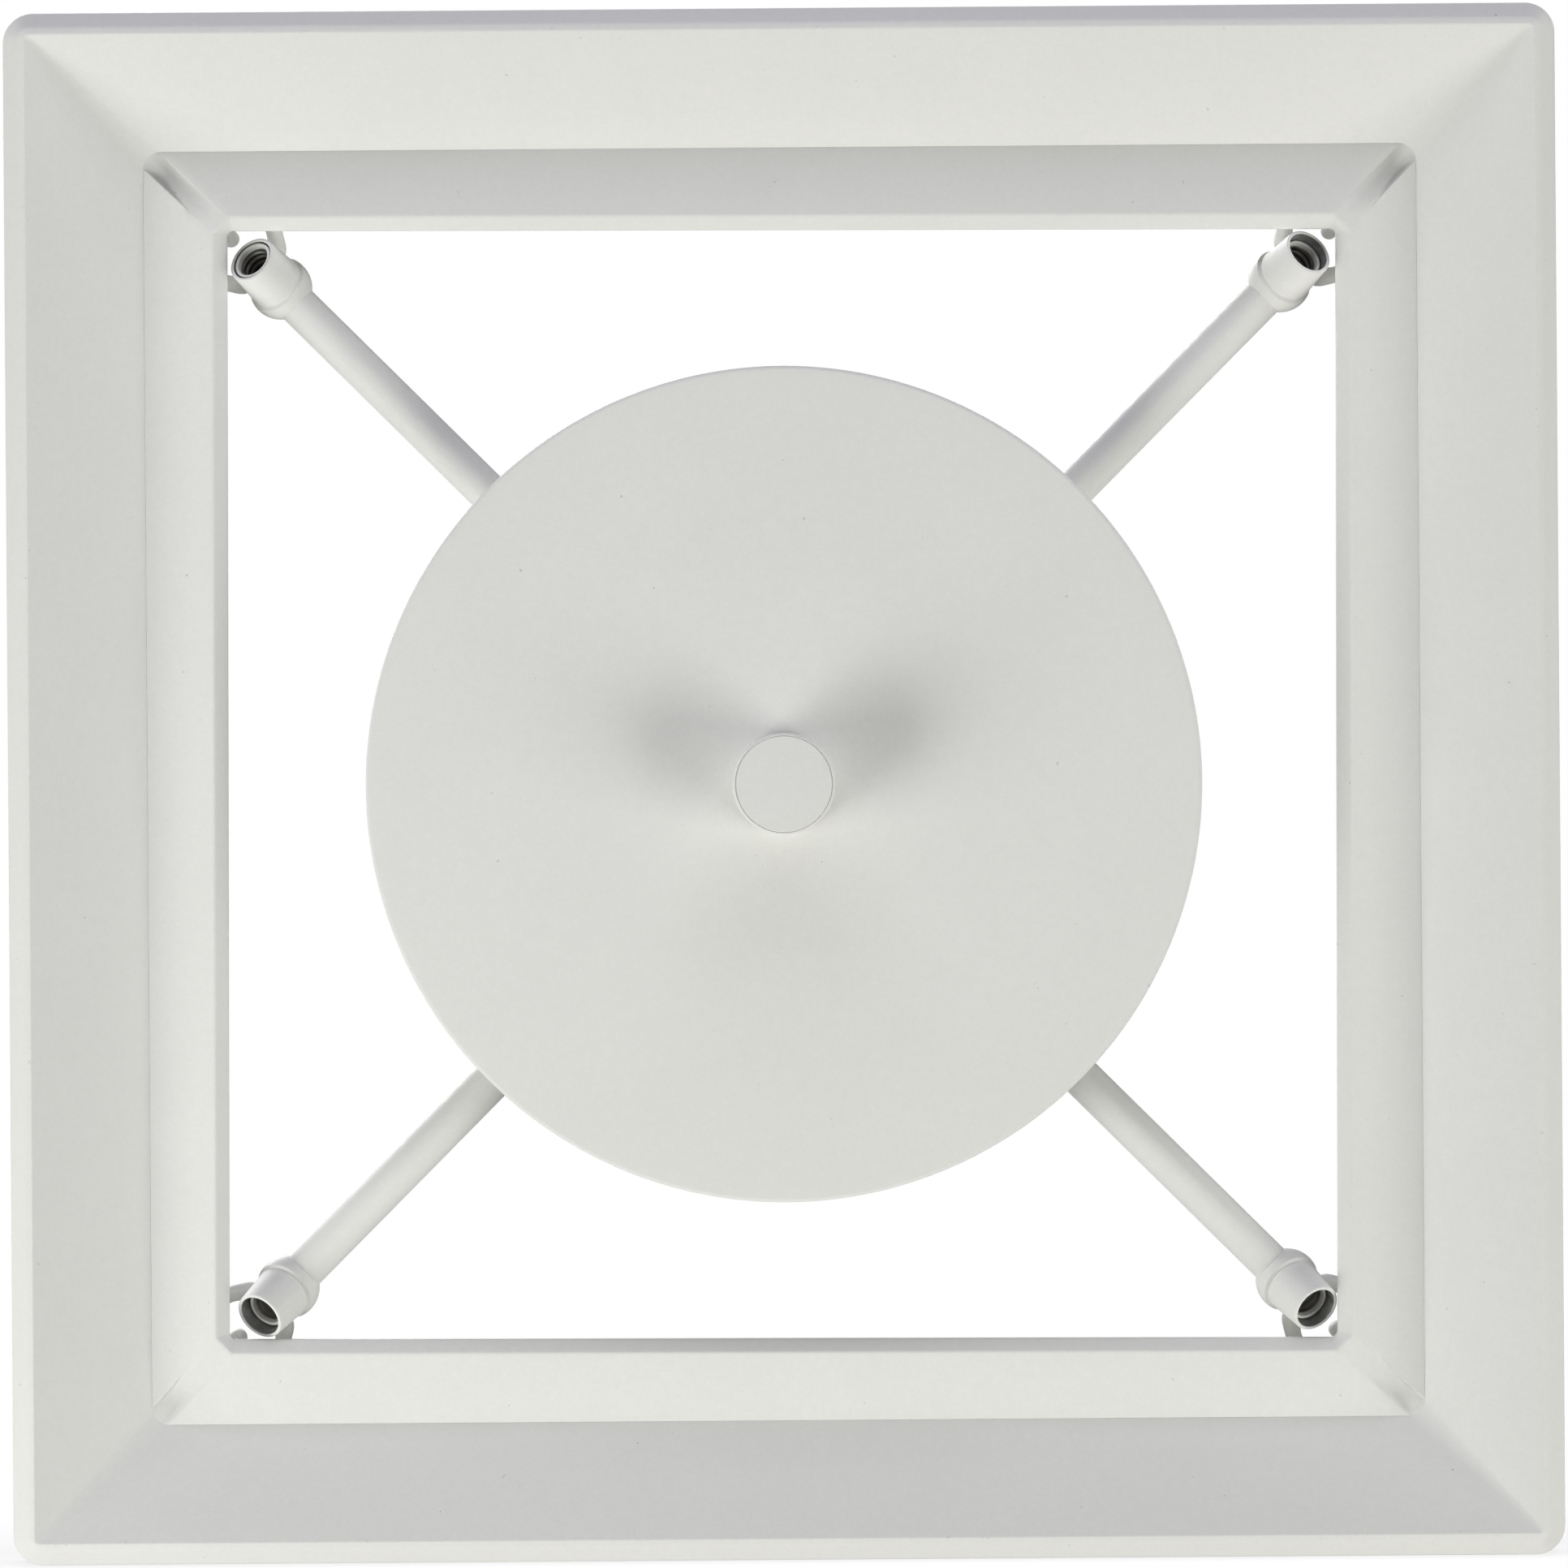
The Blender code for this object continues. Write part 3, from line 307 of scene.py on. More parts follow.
class Finish:
    """A node-based material in the object's own coordinates."""

    def __init__(self, tree):
        self.tree = tree
        self.place = self.add("ShaderNodeTexCoord").outputs["Object"]

    def add(self, kind, inputs=None, **settings):
        """A shader node. inputs maps an input's name or number to a value or to another node's output."""
        made = self.tree.nodes.new(kind)
        for key, value in settings.items():
            setattr(made, key, value)
        for key, value in (inputs or {}).items():
            if isinstance(value, bpy.types.NodeSocket):
                self.tree.links.new(value, made.inputs[key])
            else:
                made.inputs[key].default_value = value
        return made

    def noise(self, size, detail=2.0, roughness=0.5, place=None):
        """Noise whose features are about size metres wide."""
        return self.add("ShaderNodeTexNoise", {
            "Vector": place or self.place, "Scale": 1 / size, "Detail": detail, "Roughness": roughness,
        }).outputs["Fac"]

    def remap(self, value, low, high, to_low=0, to_high=1):
        return self.add("ShaderNodeMapRange", {
            "Value": value, "From Min": low, "From Max": high, "To Min": to_low, "To Max": to_high,
        }).outputs["Result"]

    def mix(self, share, first, second):
        first, second = ((*c, 1) if isinstance(c, tuple) else c for c in (first, second))
        return self.add("ShaderNodeMix", {"Factor": share, 6: first, 7: second}, data_type="RGBA").outputs[2]

    def maths(self, operation, first, second=0.0):
        return self.add("ShaderNodeMath", {0: first, 1: second}, operation=operation).outputs[0]

    def product(self, first, *others):
        for other in others:
            first = self.maths("MULTIPLY", first, other)
        return first

    def split(self):
        """The three coordinates."""
        return self.add("ShaderNodeSeparateXYZ", {0: self.place}).outputs

    def off_middle(self):
        """Distances from the middle, across and up or down, and the height."""
        x, _, z = self.split()
        return self.maths("ABSOLUTE", x), self.maths("ABSOLUTE", z), z

    def camera_switch(self, kind, felt, strength=1.0):
        """White light for the camera and light of another colour for the object."""
        seen = self.add(kind, {"Color": WHITE, "Strength": strength}).outputs[0]
        felt = self.add(kind, {"Color": (*felt, 1), "Strength": 1.0}).outputs[0]
        rays = self.add("ShaderNodeLightPath").outputs["Is Camera Ray"]
        return self.add("ShaderNodeMixShader", {0: rays, 1: felt, 2: seen}).outputs[0]


class Surface(Finish):
    """The finish of a solid surface."""

    def __init__(self, name):
        self.material = bpy.data.materials.new(name)
        self.material.use_nodes = True
        super().__init__(self.material.node_tree)

    def done(self, colour, roughness, relief, **settings):
        """relief is a height, its distance in metres and its strength."""
        shader = self.tree.nodes["Principled BSDF"]
        height, distance, strength = relief
        bump = self.add("ShaderNodeBump", {"Height": height, "Distance": distance, "Strength": strength})
        self.tree.links.new(colour, shader.inputs["Base Color"])
        self.tree.links.new(roughness, shader.inputs["Roughness"])
        self.tree.links.new(bump.outputs["Normal"], shader.inputs["Normal"])
        for name, value in settings.items():
            shader.inputs[name.replace("_", " ")].default_value = value
        return self.material


PAINT = (0.797, 0.797, 0.775)
WHITE = (1, 1, 1, 1)


def powder_coat(name, crease_half=None, strip_half=None):
    """Fine-textured white powder coat: mottled and faintly pitted.

    crease_half adds marks along a square crease; strip_half adds painted shade to the sunk corner strips that
    start there, strongest in the upper corners.
    """
    coat = Surface(name)
    cloud, fleck = coat.noise(0.045, 3), coat.noise(0.0045)
    grain, mottle = coat.noise(0.0013, 3, 0.6), coat.noise(0.0035, 4, 0.65)
    tint = coat.mix(coat.remap(cloud, 0.3, 0.7), shaded(PAINT, 0.988), shaded(PAINT, 1.008))
    tint = coat.mix(coat.remap(grain, 0.35, 0.65, 0.0, 0.16), tint, shaded(PAINT, 0.86))
    tint = coat.mix(coat.remap(mottle, 0.35, 0.65, 0.0, 0.22), tint, shaded(PAINT, 0.9))
    tint = coat.mix(coat.remap(coat.noise(0.0024, 1), 0.8, 0.83, 0, 0.45), tint, (0.3, 0.3, 0.29))
    if crease_half:
        across, upright, _ = coat.off_middle()
        reach = coat.maths("MAXIMUM", across, upright)
        off = coat.maths("ABSOLUTE", coat.maths("SUBTRACT", reach, crease_half))
        near = coat.remap(off, 0.0003, 0.0016, 1, 0)
        chips = coat.remap(coat.noise(0.0022), 0.66, 0.72)
        patches = coat.remap(coat.noise(0.03, 1), 0.5, 0.62)
        tint = coat.mix(coat.product(near, chips, patches, 0.55), tint, (0.33, 0.32, 0.3))
    # Painted shade: the sunk corner strips are darkened in colour, more in the upper corners than the lower,
    # standing in for the shade that falls in the recess.
    if strip_half:
        across, upright, height = coat.off_middle()
        from_diagonal = coat.maths("ABSOLUTE", coat.maths("SUBTRACT", across, upright))
        inside = coat.remap(coat.product(from_diagonal, 0.707), 0.0036, 0.0047, 1, 0)
        run = coat.maths("SUBTRACT", strip_half, coat.maths("MINIMUM", across, upright))
        ends = coat.product(coat.remap(run, 0.003, 0.0095), coat.remap(run, 0.012, 0.028, 1, 0))
        stronger_above = coat.remap(height, -0.01, 0.01, 0.08, 0.46)
        shade = coat.product(ends, coat.product(inside, stronger_above))
        tint = coat.mix(shade, tint, shaded(PAINT, 0.35))
    relief = coat.maths("ADD", coat.product(grain, 0.7), coat.product(fleck, 0.5))
    return coat.done(tint, coat.remap(fleck, 0.3, 0.7, 0.5, 0.64), (relief, 0.00012, 0.8),
                     Specular_IOR_Level=0.35)


def galvanised(name, colour=(0.6, 0.615, 0.63), spangle=0.014):
    """Zinc-coated sheet with a spangle of crystals."""
    zinc = Surface(name)
    cells = zinc.add("ShaderNodeTexVoronoi", {"Vector": zinc.place, "Scale": 1 / spangle}, feature="F1")
    tone = zinc.add("ShaderNodeSeparateColor", {0: cells.outputs["Color"]}).outputs[0]
    tone = zinc.maths("ADD", zinc.product(tone, 0.7), zinc.product(zinc.noise(0.02), 0.4))
    tint = zinc.mix(zinc.remap(tone, 0.1, 1.0), shaded(colour, 0.72), shaded(colour, 1.16))
    tint = zinc.mix(zinc.remap(zinc.noise(0.05, 4), 0.52, 0.75, 0, 0.5), tint, (0.5, 0.5, 0.49))
    return zinc.done(tint, zinc.remap(tone, 0.1, 1.0, 0.38, 0.6), (zinc.noise(0.0011, 3), 0.00004, 0.5),
                     Metallic=0.85)


def bare_metal(name, colour, rough=(0.25, 0.45)):
    """Plated or drawn metal with fine lines and a little tarnish."""
    metal = Surface(name)
    streak, stain = metal.noise(0.0006, 3, 0.6), metal.noise(0.007, 4)
    tint = metal.mix(metal.remap(stain, 0.45, 0.72, 0, 0.4), colour, shaded(colour, 0.5))
    tint = metal.mix(metal.remap(streak, 0.3, 0.7, 0, 0.2), tint, shaded(colour, 1.25))
    return metal.done(tint, metal.remap(stain, 0.3, 0.7, *rough), (streak, 0.00003, 0.5), Metallic=1.0)


def glazed(name, colour=(0.7, 0.7, 0.67)):
    """White ceramic with a thin uneven glaze and fine dark specks."""
    glaze = Surface(name)
    body = glaze.noise(0.004, 3)
    tint = glaze.mix(glaze.remap(body, 0.3, 0.7), shaded(colour, 0.93), colour)
    tint = glaze.mix(glaze.remap(glaze.noise(0.0008, 1), 0.72, 0.78, 0, 0.6), tint, (0.22, 0.21, 0.19))
    return glaze.done(tint, glaze.remap(body, 0.3, 0.7, 0.18, 0.34), (body, 0.0001, 0.4), Coat_Weight=0.4)


def moulded(name, colour, rough=(0.38, 0.52), grain_size=0.0009, depth=0.00003):
    """Moulded plastic or rubber with a fine eroded grain and slight flow marks."""
    skin = Surface(name)
    grain = skin.noise(grain_size)
    tint = skin.mix(skin.remap(skin.noise(0.018), 0.3, 0.7), shaded(colour, 0.93), shaded(colour, 1.05))
    tint = skin.mix(skin.remap(skin.noise(0.005, 4), 0.55, 0.8, 0, 0.12), tint, (0.45, 0.44, 0.42))
    return skin.done(tint, skin.remap(grain, 0.3, 0.7, *rough), (grain, depth, 0.6))


def wound_copper(name):
    """Enamelled wire: close turns in rings, with a varnish that varies."""
    wire = Surface(name)
    turns = wire.add("ShaderNodeTexWave", {"Vector": wire.place, "Scale": 180.0, "Distortion": 1.2},
                     bands_direction="Y").outputs["Fac"]
    tint = wire.mix(turns, (0.24, 0.08, 0.03), (0.66, 0.3, 0.14))
    return wire.done(tint, wire.remap(wire.noise(0.004), 0.3, 0.7, 0.28, 0.5), (turns, 0.0002, 0.7),
                     Metallic=0.8)


# ---------------------------------------------------------------- the square frame

SHEET = 0.0009
SIDE_PITCH = 0.006
OUTER_LOW, OUTER_HIGH = depth_range("outer_frame")
INNER_LOW = depth_range("inner_frame")[0]
FRAME_HALF = half_width("outer_frame")
INNER_HALF = half_width("inner_frame")
VALLEY_HALF = INNER_HALF + 0.0003
SEAM = 0.00002
LIP_WIDTH = 0.0087
RIDGE_HALF = FRAME_HALF - LIP_WIDTH
VALLEY_DEPTH = OUTER_HIGH - 0.026
INNER_HIGH = VALLEY_DEPTH + 0.009
INNER_RIDGE_HALF = INNER_HALF - 0.0265
OPENING_HALF = INNER_RIDGE_HALF - 0.0052
SMALLEST_CORNER = 0.0005

# How far round a corner each point is, from its side band (0) to its top or bottom band (1).
EVEN_SHARES = [i / 14 for i in range(15)]
STRIP_SHARES = [0, 0.012, 0.03, 0.07, 0.14, 0.24, 0.36, 0.48, 0.6, 0.7, 0.78, 0.85, 0.91, 0.96, 1]

# Rows of distance from the seam, as a negative number, and the corner strip's slope there: depth gained for
# each metre towards the opening.
STRIP_SLOPE = ((0.0, -0.5), (-0.002, 0.1), (-0.005, 0.8), (-0.008, 1.35), (-0.01, 1.42),
               (-0.014, 1.25), (-0.018, 1.1), (-0.022, 0.98), (-0.0265, 0.8))
STRIP_FALL = 0.012

# The pressed edge round the opening isn't quite square with the rest of the frame, or in its middle.
INNER_TWIST = radians(0.3)
INNER_SHIFT = -0.0006


def square_ring(half, depth, radius, shares=EVEN_SHARES, chord=0.0):
    """Points round a square with round corners, anticlockwise seen from the room, from its right side.

    chord flattens each corner's arc towards the straight line between its ends.
    """
    points = []
    flat = half - radius
    count = max(2, ceil(2 * FRAME_HALF / SIDE_PITCH))
    sides = ((1, 1, 0.0), (-1, 1, pi / 2), (-1, -1, pi), (1, -1, 3 * pi / 2))
    for number, (x, z, start) in enumerate(sides):
        middle = Vector((x * flat, -depth, z * flat))

        def on_arc(angle):
            return middle + radius * Vector((cos(angle), 0, sin(angle)))

        first, last = on_arc(start), on_arc(start + pi / 2)
        for share in shares if number % 2 == 0 else [1 - share for share in shares[::-1]]:
            points.append(on_arc(start + pi / 2 * share).lerp(first.lerp(last, share), chord))
        nx, nz, nstart = sides[(number + 1) % 4]
        goal = Vector((nx * flat + radius * cos(nstart), -depth, nz * flat + radius * sin(nstart)))
        points += [last.lerp(goal, i / count) for i in range(1, count)]
    return points


def offset_line(line):
    """The front line of a sheet moved to its back, where a line runs inwards from the frame's outer edge."""
    moved = []
    for i, point in enumerate(line):
        before, after = line[max(i - 1, 0)], line[min(i + 1, len(line) - 1)]
        along = (after - before).normalized()
        moved.append(point + Vector((along.y, -along.x)) * -SHEET)
    return moved


def interpolate(table, value):
    """Straight interpolation in rows of (value, result) that fall from the first to the last."""
    if value >= table[0][0]:
        return table[0][1]
    for (high, first), (low, second) in zip(table, table[1:]):
        if value >= low:
            return first + (second - first) * (high - value) / (high - low)
    return table[-1][1]


def unevenness(point, size, amount, seed):
    """A smooth shift that repeats on every run."""
    return amount * noise.noise(point / size + Vector((seed, seed * 0.7, -seed)))


def build_outer_frame():
    line = rounded([
        (FRAME_HALF, OUTER_LOW), (FRAME_HALF, OUTER_HIGH - 0.0075), (FRAME_HALF - 0.006, OUTER_HIGH - 0.001),
        (RIDGE_HALF, OUTER_HIGH), (VALLEY_HALF, VALLEY_DEPTH), (VALLEY_HALF, VALLEY_DEPTH - 0.006),
    ], [0.003, 0.0035, 0.001, 0.0003], steps=6)
    corner_radii = ((FRAME_HALF, 0.0115), (RIDGE_HALF, 0.0018), (VALLEY_HALF, 0.0069))
    rings = []
    for half, depth in line + offset_line(line)[::-1]:
        ring = square_ring(half, depth, max(SMALLEST_CORNER, interpolate(corner_radii, half)))
        crease = exp(-((half - RIDGE_HALF) / 0.004) ** 2)
        for p in ring:
            p.y += crease * (unevenness(p, 0.013, 0.00012, 3) + unevenness(p, 0.09, 0.00025, 8))
            p.y = max(p.y, -OUTER_HIGH)
        rings.append(ring)
    return loft("outer_frame_look", rings)


def strip_depth(run):
    """How far the corner strip has risen at a distance from the seam."""
    steps = 60
    return sum(run / steps * interpolate(STRIP_SLOPE, -run * (i + 0.5) / steps) for i in range(steps))


def sink_strips(ring, sink):
    """Moves the corners of a ring back by sink, fully in the middle of each corner strip."""
    size = len(ring) // 4
    for corner in range(4):
        for i, share in enumerate(STRIP_SHARES if corner % 2 == 0 else STRIP_SHARES[::-1]):
            soft = min(1.0, (1 - share) / 0.3)
            weight = min(1.0, share / 0.03) * soft * soft * (3 - 2 * soft)
            ring[corner * size + i] = ring[corner * size + i] + FRONT * (sink * weight)


def build_inner_frame():
    base = VALLEY_HALF - SEAM
    width = base - INNER_RIDGE_HALF
    rise = INNER_HIGH - VALLEY_DEPTH
    skirt = INNER_HIGH - 0.0036
    line = rounded([
        (base, INNER_LOW), (base, VALLEY_DEPTH),
        *[(base - width * i / 16, VALLEY_DEPTH + rise * i / 16) for i in range(1, 16)],
        (INNER_RIDGE_HALF, INNER_HIGH), (OPENING_HALF, skirt), (OPENING_HALF, skirt - 0.0032),
    ], [0.0002] + [0] * 15 + [0.0028, 0.0012], steps=7)
    corner_radii = ((base, 0.0066), (INNER_RIDGE_HALF, 0.0062), (OPENING_HALF, 0.0026))
    band_end = INNER_RIDGE_HALF - 0.001
    full = strip_depth(width)
    sunk = []
    for half, depth in line:
        run = base - half
        on_band = half >= band_end and depth >= VALLEY_DEPTH - 0.0004
        sunk.append(min(0.0, STRIP_FALL * (strip_depth(run) / full - run / width)) if on_band else 0.0)
    rings = []
    for (half, depth), sink in list(zip(line, sunk)) + list(zip(offset_line(line), sunk))[::-1]:
        chord = min(1.0, max(0.0, (base - half) / 0.004)) if half > band_end else 0
        radius = max(SMALLEST_CORNER, interpolate(corner_radii, half))
        ring = square_ring(half, depth, radius, STRIP_SHARES, chord)
        sink_strips(ring, sink)
        turned = min(1.0, max(0.0, (base - half) / (base - OPENING_HALF)))
        twist = Matrix.Rotation(INNER_TWIST * turned, 4, "Y")
        rings.append([twist @ p + Vector((INNER_SHIFT * turned, 0, 0)) for p in ring])
    return loft("inner_frame_look", rings, angle=32)


# ---------------------------------------------------------------- hooks, arms, cups

ARM_DEPTH = -centre_of("arm_top_right").y
ARM_RADIUS = (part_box("arm_top_right")[1].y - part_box("arm_top_right")[0].y) / 2
ARM_WALL = 0.0014
CUP_TILT = radians(45)
BALL_RADIUS = 0.0122
CUP_LENGTH = 0.0206
CUP_FLOOR = 0.005
CUP_BORE = 0.0084
RING_REACH = 0.2975
RING_DEPTH = 0.036
RING_RADIUS = 0.0154
RING_ROD = 0.0031
HOOK_ROD = 0.00325
RECESS = {"top_left": 0.0005, "top_right": 0.004, "bottom_left": 0.0055, "bottom_right": 0.005}


def opening_centre(name):
    for row in frame["record"]["physics"]["openings"]:
        if row["name"] == name:
            low, high = row["box_m"]
            return (Vector(low) + Vector(high)) / 2


def place_at(origin, axis, across):
    """A frame at origin whose local Z runs along axis and whose X lies towards across."""
    z = axis.normalized()
    x = (across - z * across.dot(z)).normalized()
    y = z.cross(x)
    return Matrix.Translation(origin) @ Matrix((x, y, z)).transposed().to_4x4()


def cup_axis(corner):
    return cos(CUP_TILT) * CORNERS[corner] + sin(CUP_TILT) * FRONT


def ball_centre(corner):
    """Where the cup's axis meets the arm's."""
    mouth = opening_centre("lamp_holder_" + corner)
    return mouth - cup_axis(corner) * ((-mouth.y - ARM_DEPTH) / sin(CUP_TILT))


def cup_place(corner):
    return place_at(ball_centre(corner), cup_axis(corner), FRONT)


def arm_place(corner):
    return place_at(FRONT * ARM_DEPTH, CORNERS[corner], FRONT)


def build_cup(corner):
    """A ball, the cup on it and the ring behind them, as one piece."""
    outward, place = CORNERS[corner], cup_place(corner)
    shoulder = radians(12)
    ball = [(BALL_RADIUS * cos(a), BALL_RADIUS * sin(a))
            for a in [shoulder - (pi / 2 + shoulder) * i / 18 for i in range(18)]]
    outside = rounded([
        (CUP_BORE, CUP_LENGTH - 0.003), (CUP_BORE, CUP_LENGTH), (0.0097, CUP_LENGTH), (0.0107, 0.006),
        (0.011, 0.0044), (0.0106, 0.0036), (0.0113, 0.003),
    ], [0.0004, 0.0006, 0.003, 0.0004, 0.0002], steps=4)
    profile = [(0, CUP_FLOOR), (CUP_BORE, CUP_FLOOR), *outside,
               *[p for p in ball if p[1] < 0.0027], (0, -BALL_RADIUS)]
    cup = lathe(f"socket_cup_{corner}_look", profile, place=place, sides=72)

    middle = outward * RING_REACH + FRONT * RING_DEPTH
    weld_angle, weld_spread, steps = 0.62, 0.22, 72
    path, radii = [], []
    for i in range(steps):
        a = 2 * pi * i / steps
        path.append(middle + RING_RADIUS * (-outward * cos(a) + outward.cross(FRONT) * sin(a)))
        away = min(a, 2 * pi - a)
        radii.append(RING_ROD * (1 + 0.34 * exp(-((away - weld_angle) / weld_spread) ** 2)))
    combine(cup, [sweep("ring", path, radii, sides=24, closed=True)], "UNION")
    return combine(cup, [plug(CUP_BORE - 0.00002, CUP_FLOOR, 0.04, place, 72)])


def mark_bore(cup, corner):
    """Gives the faces inside the cup its second material."""
    inverse = cup_place(corner).inverted()
    for face in cup.data.polygons:
        at = inverse @ face.center
        within = sqrt(at.x ** 2 + at.y ** 2) < CUP_BORE + 0.0001
        face.material_index = 1 if within and CUP_FLOOR - 0.0002 < at.z < CUP_LENGTH - 0.0006 else 0


def build_hook(corner):
    outward = CORNERS[corner]
    back = RING_DEPTH - RING_ROD - 0.0003 - HOOK_ROD
    root_reach, root_depth = 0.325, 0.0497
    tip_reach, tip_depth = 0.3005, 0.042 - HOOK_ROD
    corners = ((root_reach, root_depth), (root_reach, back), (tip_reach, back), (tip_reach, tip_depth))
    path = soft_path([outward * reach + FRONT * depth for reach, depth in corners], 0.005)
    radii = [HOOK_ROD] * len(path)
    for a in quarter(8)[1:]:
        path.append(outward * tip_reach + FRONT * (tip_depth + HOOK_ROD * sin(a)))
        radii.append(max(HOOK_ROD * cos(a), 0.00004))
    return sweep(f"frame_hook_{corner}_look", path, radii, sides=28)


def build_arm(corner):
    low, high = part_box(f"arm_{corner}")
    inner = min(abs(low.x), abs(high.x)) * sqrt(2) + ARM_RADIUS
    end = ball_centre(corner).dot(CORNERS[corner]) - sqrt((BALL_RADIUS + 0.0001) ** 2 - ARM_RADIUS ** 2)
    bore = ARM_RADIUS - ARM_WALL
    return lathe(f"arm_{corner}_look", [
        (bore, end + 0.0006), (ARM_RADIUS, end + 0.0002), (ARM_RADIUS, inner), (bore, inner),
    ], [0.0001, 0.0002, 0.0004, 0.0003], 3, arm_place(corner), 64)


# ---------------------------------------------------------------- front disc and knob

DISC_RADIUS = half_width("front_disc") - 0.002
DISC_BACK, DISC_FRONT = depth_range("front_disc")
DISC_WALL = 0.0012
KNOB_RADIUS = half_width("knob")
KNOB_BACK, KNOB_FRONT = depth_range("knob")
SPINDLE_BORE = 0.0046


def build_disc():
    crown, roll_radius = 0.0035, 0.0016
    rim = DISC_RADIUS - roll_radius
    steps = 30
    face = []
    for i in range(steps + 1):
        radius = SPINDLE_BORE + (rim - SPINDLE_BORE) * i / steps
        flare = 0.0009 * exp(-max(0.0, radius - KNOB_RADIUS) / 0.009)
        face.append((radius, DISC_FRONT - crown * (radius / rim) ** 2 + flare))
    edge = DISC_FRONT - crown
    roll = [(rim + roll_radius * sin(a), edge - roll_radius * (1 - cos(a))) for a in quarter(6)[1:]]
    rim_back = edge - 0.004
    inner = DISC_RADIUS - DISC_WALL
    hem = [(DISC_RADIUS, rim_back + 0.0004), (DISC_RADIUS - 0.0003, rim_back), (inner + 0.0003, rim_back),
           (inner, rim_back + 0.0004)]
    back = [(min(radius, inner - 0.0002), depth - DISC_WALL - (0.0004 if radius > rim - 0.001 else 0))
            for radius, depth in face[::-1] if radius > 0.009]
    sleeve = [(0.008, DISC_FRONT - DISC_WALL), (0.008, DISC_BACK + 0.0005), (0.0075, DISC_BACK),
              (SPINDLE_BORE, DISC_BACK)]
    return lathe("front_disc_look", face + roll + hem + back + sleeve, sides=200)


def build_knob():
    groove = KNOB_RADIUS - 0.0011
    blind_end = KNOB_FRONT - 0.005
    return lathe("knob_look", [
        (0, KNOB_FRONT), (groove - 0.0004, KNOB_FRONT), (groove - 0.0001, KNOB_FRONT - 0.0006),
        (groove + 0.0002, KNOB_FRONT - 0.0001), (KNOB_RADIUS, KNOB_FRONT - 0.0008), (KNOB_RADIUS, KNOB_BACK),
        (SPINDLE_BORE, KNOB_BACK), (SPINDLE_BORE, blind_end), (0, blind_end),
    ], [0.0001, 0.00008, 0.0001, 0.0003, 0.0004, 0.0003, 0.0003], sides=128)


# ---------------------------------------------------------------- lamp holders

def build_lamp_body(corner):
    top, foot = CUP_LENGTH - RECESS[corner], CUP_FLOOR + 0.0003
    floor = foot + 0.002
    return lathe(f"lamp_body_{corner}_look", [
        (0.0066, top - 0.0002), (0.007, top), (0.0077, top), (0.0079, top - 0.0006), (0.0079, foot),
        (0.0019, foot), (0.0019, floor), (0.0066, floor),
    ], [0.0002, 0.0002, 0.0002, 0.0003, 0.0003, 0.0001, 0.0002, 0.0004], 4, cup_place(corner), 80)


def build_lamp_thread(corner):
    """A thin shell rolled into a round screw thread, with a plain rim at the top."""
    outer, wall, groove, pitch = 0.0063, 0.0003, 0.0007, 0.0028
    low, high = CUP_FLOOR + 0.0026, CUP_LENGTH - RECESS[corner] - 0.002
    place = cup_place(corner)
    rows = max(8, ceil((high - low) / pitch * 10))
    rings = []
    for surface, order in enumerate((range(rows + 1), range(rows, -1, -1))):
        for i in order:
            height = low + (high - low) * i / rows
            cut = groove * min(1.0, (high - height) / (0.6 * pitch))
            side = outer - wall * surface
            rings.append(thread_ring(lambda turn: side - cut * (0.5 - 0.5 * cos(2 * pi * turn)),
                                     height, pitch, place, 72))
    return loft(f"lamp_thread_{corner}_look", rings, angle=60)


def build_lamp_contact(corner):
    foot, floor = CUP_FLOOR + 0.0006, CUP_FLOOR + 0.0026
    return lathe(f"lamp_contact_{corner}_look", [
        (0, floor + 0.0011), (0.0011, floor + 0.0011), (0.002, floor + 0.0006), (0.0028, floor + 0.0004),
        (0.0028, floor), (0.0016, floor), (0.0016, foot), (0, foot),
    ], [0.0004, 0.0004, 0.0002, 0.0001, 0.0001, 0.0001], 4, cup_place(corner), 40)


def build_lamp_lead(corner):
    """A twisted pair of insulated wires along the arm."""
    outward = CORNERS[corner]
    side = outward.cross(FRONT)
    low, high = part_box(f"lamp_lead_{corner}")
    near = min(abs(low.x), abs(high.x)) * sqrt(2) + 0.0016
    far = max(abs(low.x), abs(high.x)) * sqrt(2) - 0.0016
    twist_length, twist_radius, wire_radius, steps = 0.016, 0.00078, 0.00076, 120
    wires = []
    for start in (0, pi):
        path = []
        for i in range(steps + 1):
            reach = near + (far - near) * i / steps
            a = start + 2 * pi * reach / twist_length
            path.append(outward * reach + FRONT * ARM_DEPTH + twist_radius * (FRONT * cos(a) + side * sin(a)))
        wires.append(sweep("wire", path, wire_radius, sides=10))
    return merge(wires, f"lamp_lead_{corner}_look")


# ---------------------------------------------------------------- hub, plate, duct and inlet

SCREW_CIRCLE = 0.098
SCREW_HOLE = 0.0022
FLANGE_RADIUS = 0.105
CASING_RADIUS = 0.064
CASING_BORE = 0.062
INLET_RADIUS = 0.1


def around(radius, count, first=0.0):
    return [Vector((radius * cos(first + 2 * pi * i / count), 0, radius * sin(first + 2 * pi * i / count)))
            for i in range(count)]


def screw_holes():
    return [drill(c, SCREW_HOLE) for c in around(SCREW_CIRCLE, 4, pi / 4)]


def turned_out(point, depth):
    """A place at a depth in front of point, with its X running outwards from the axis."""
    return Matrix.Translation(point + FRONT * depth) @ Matrix.Rotation(-atan2(point.z, point.x), 4, "Y")


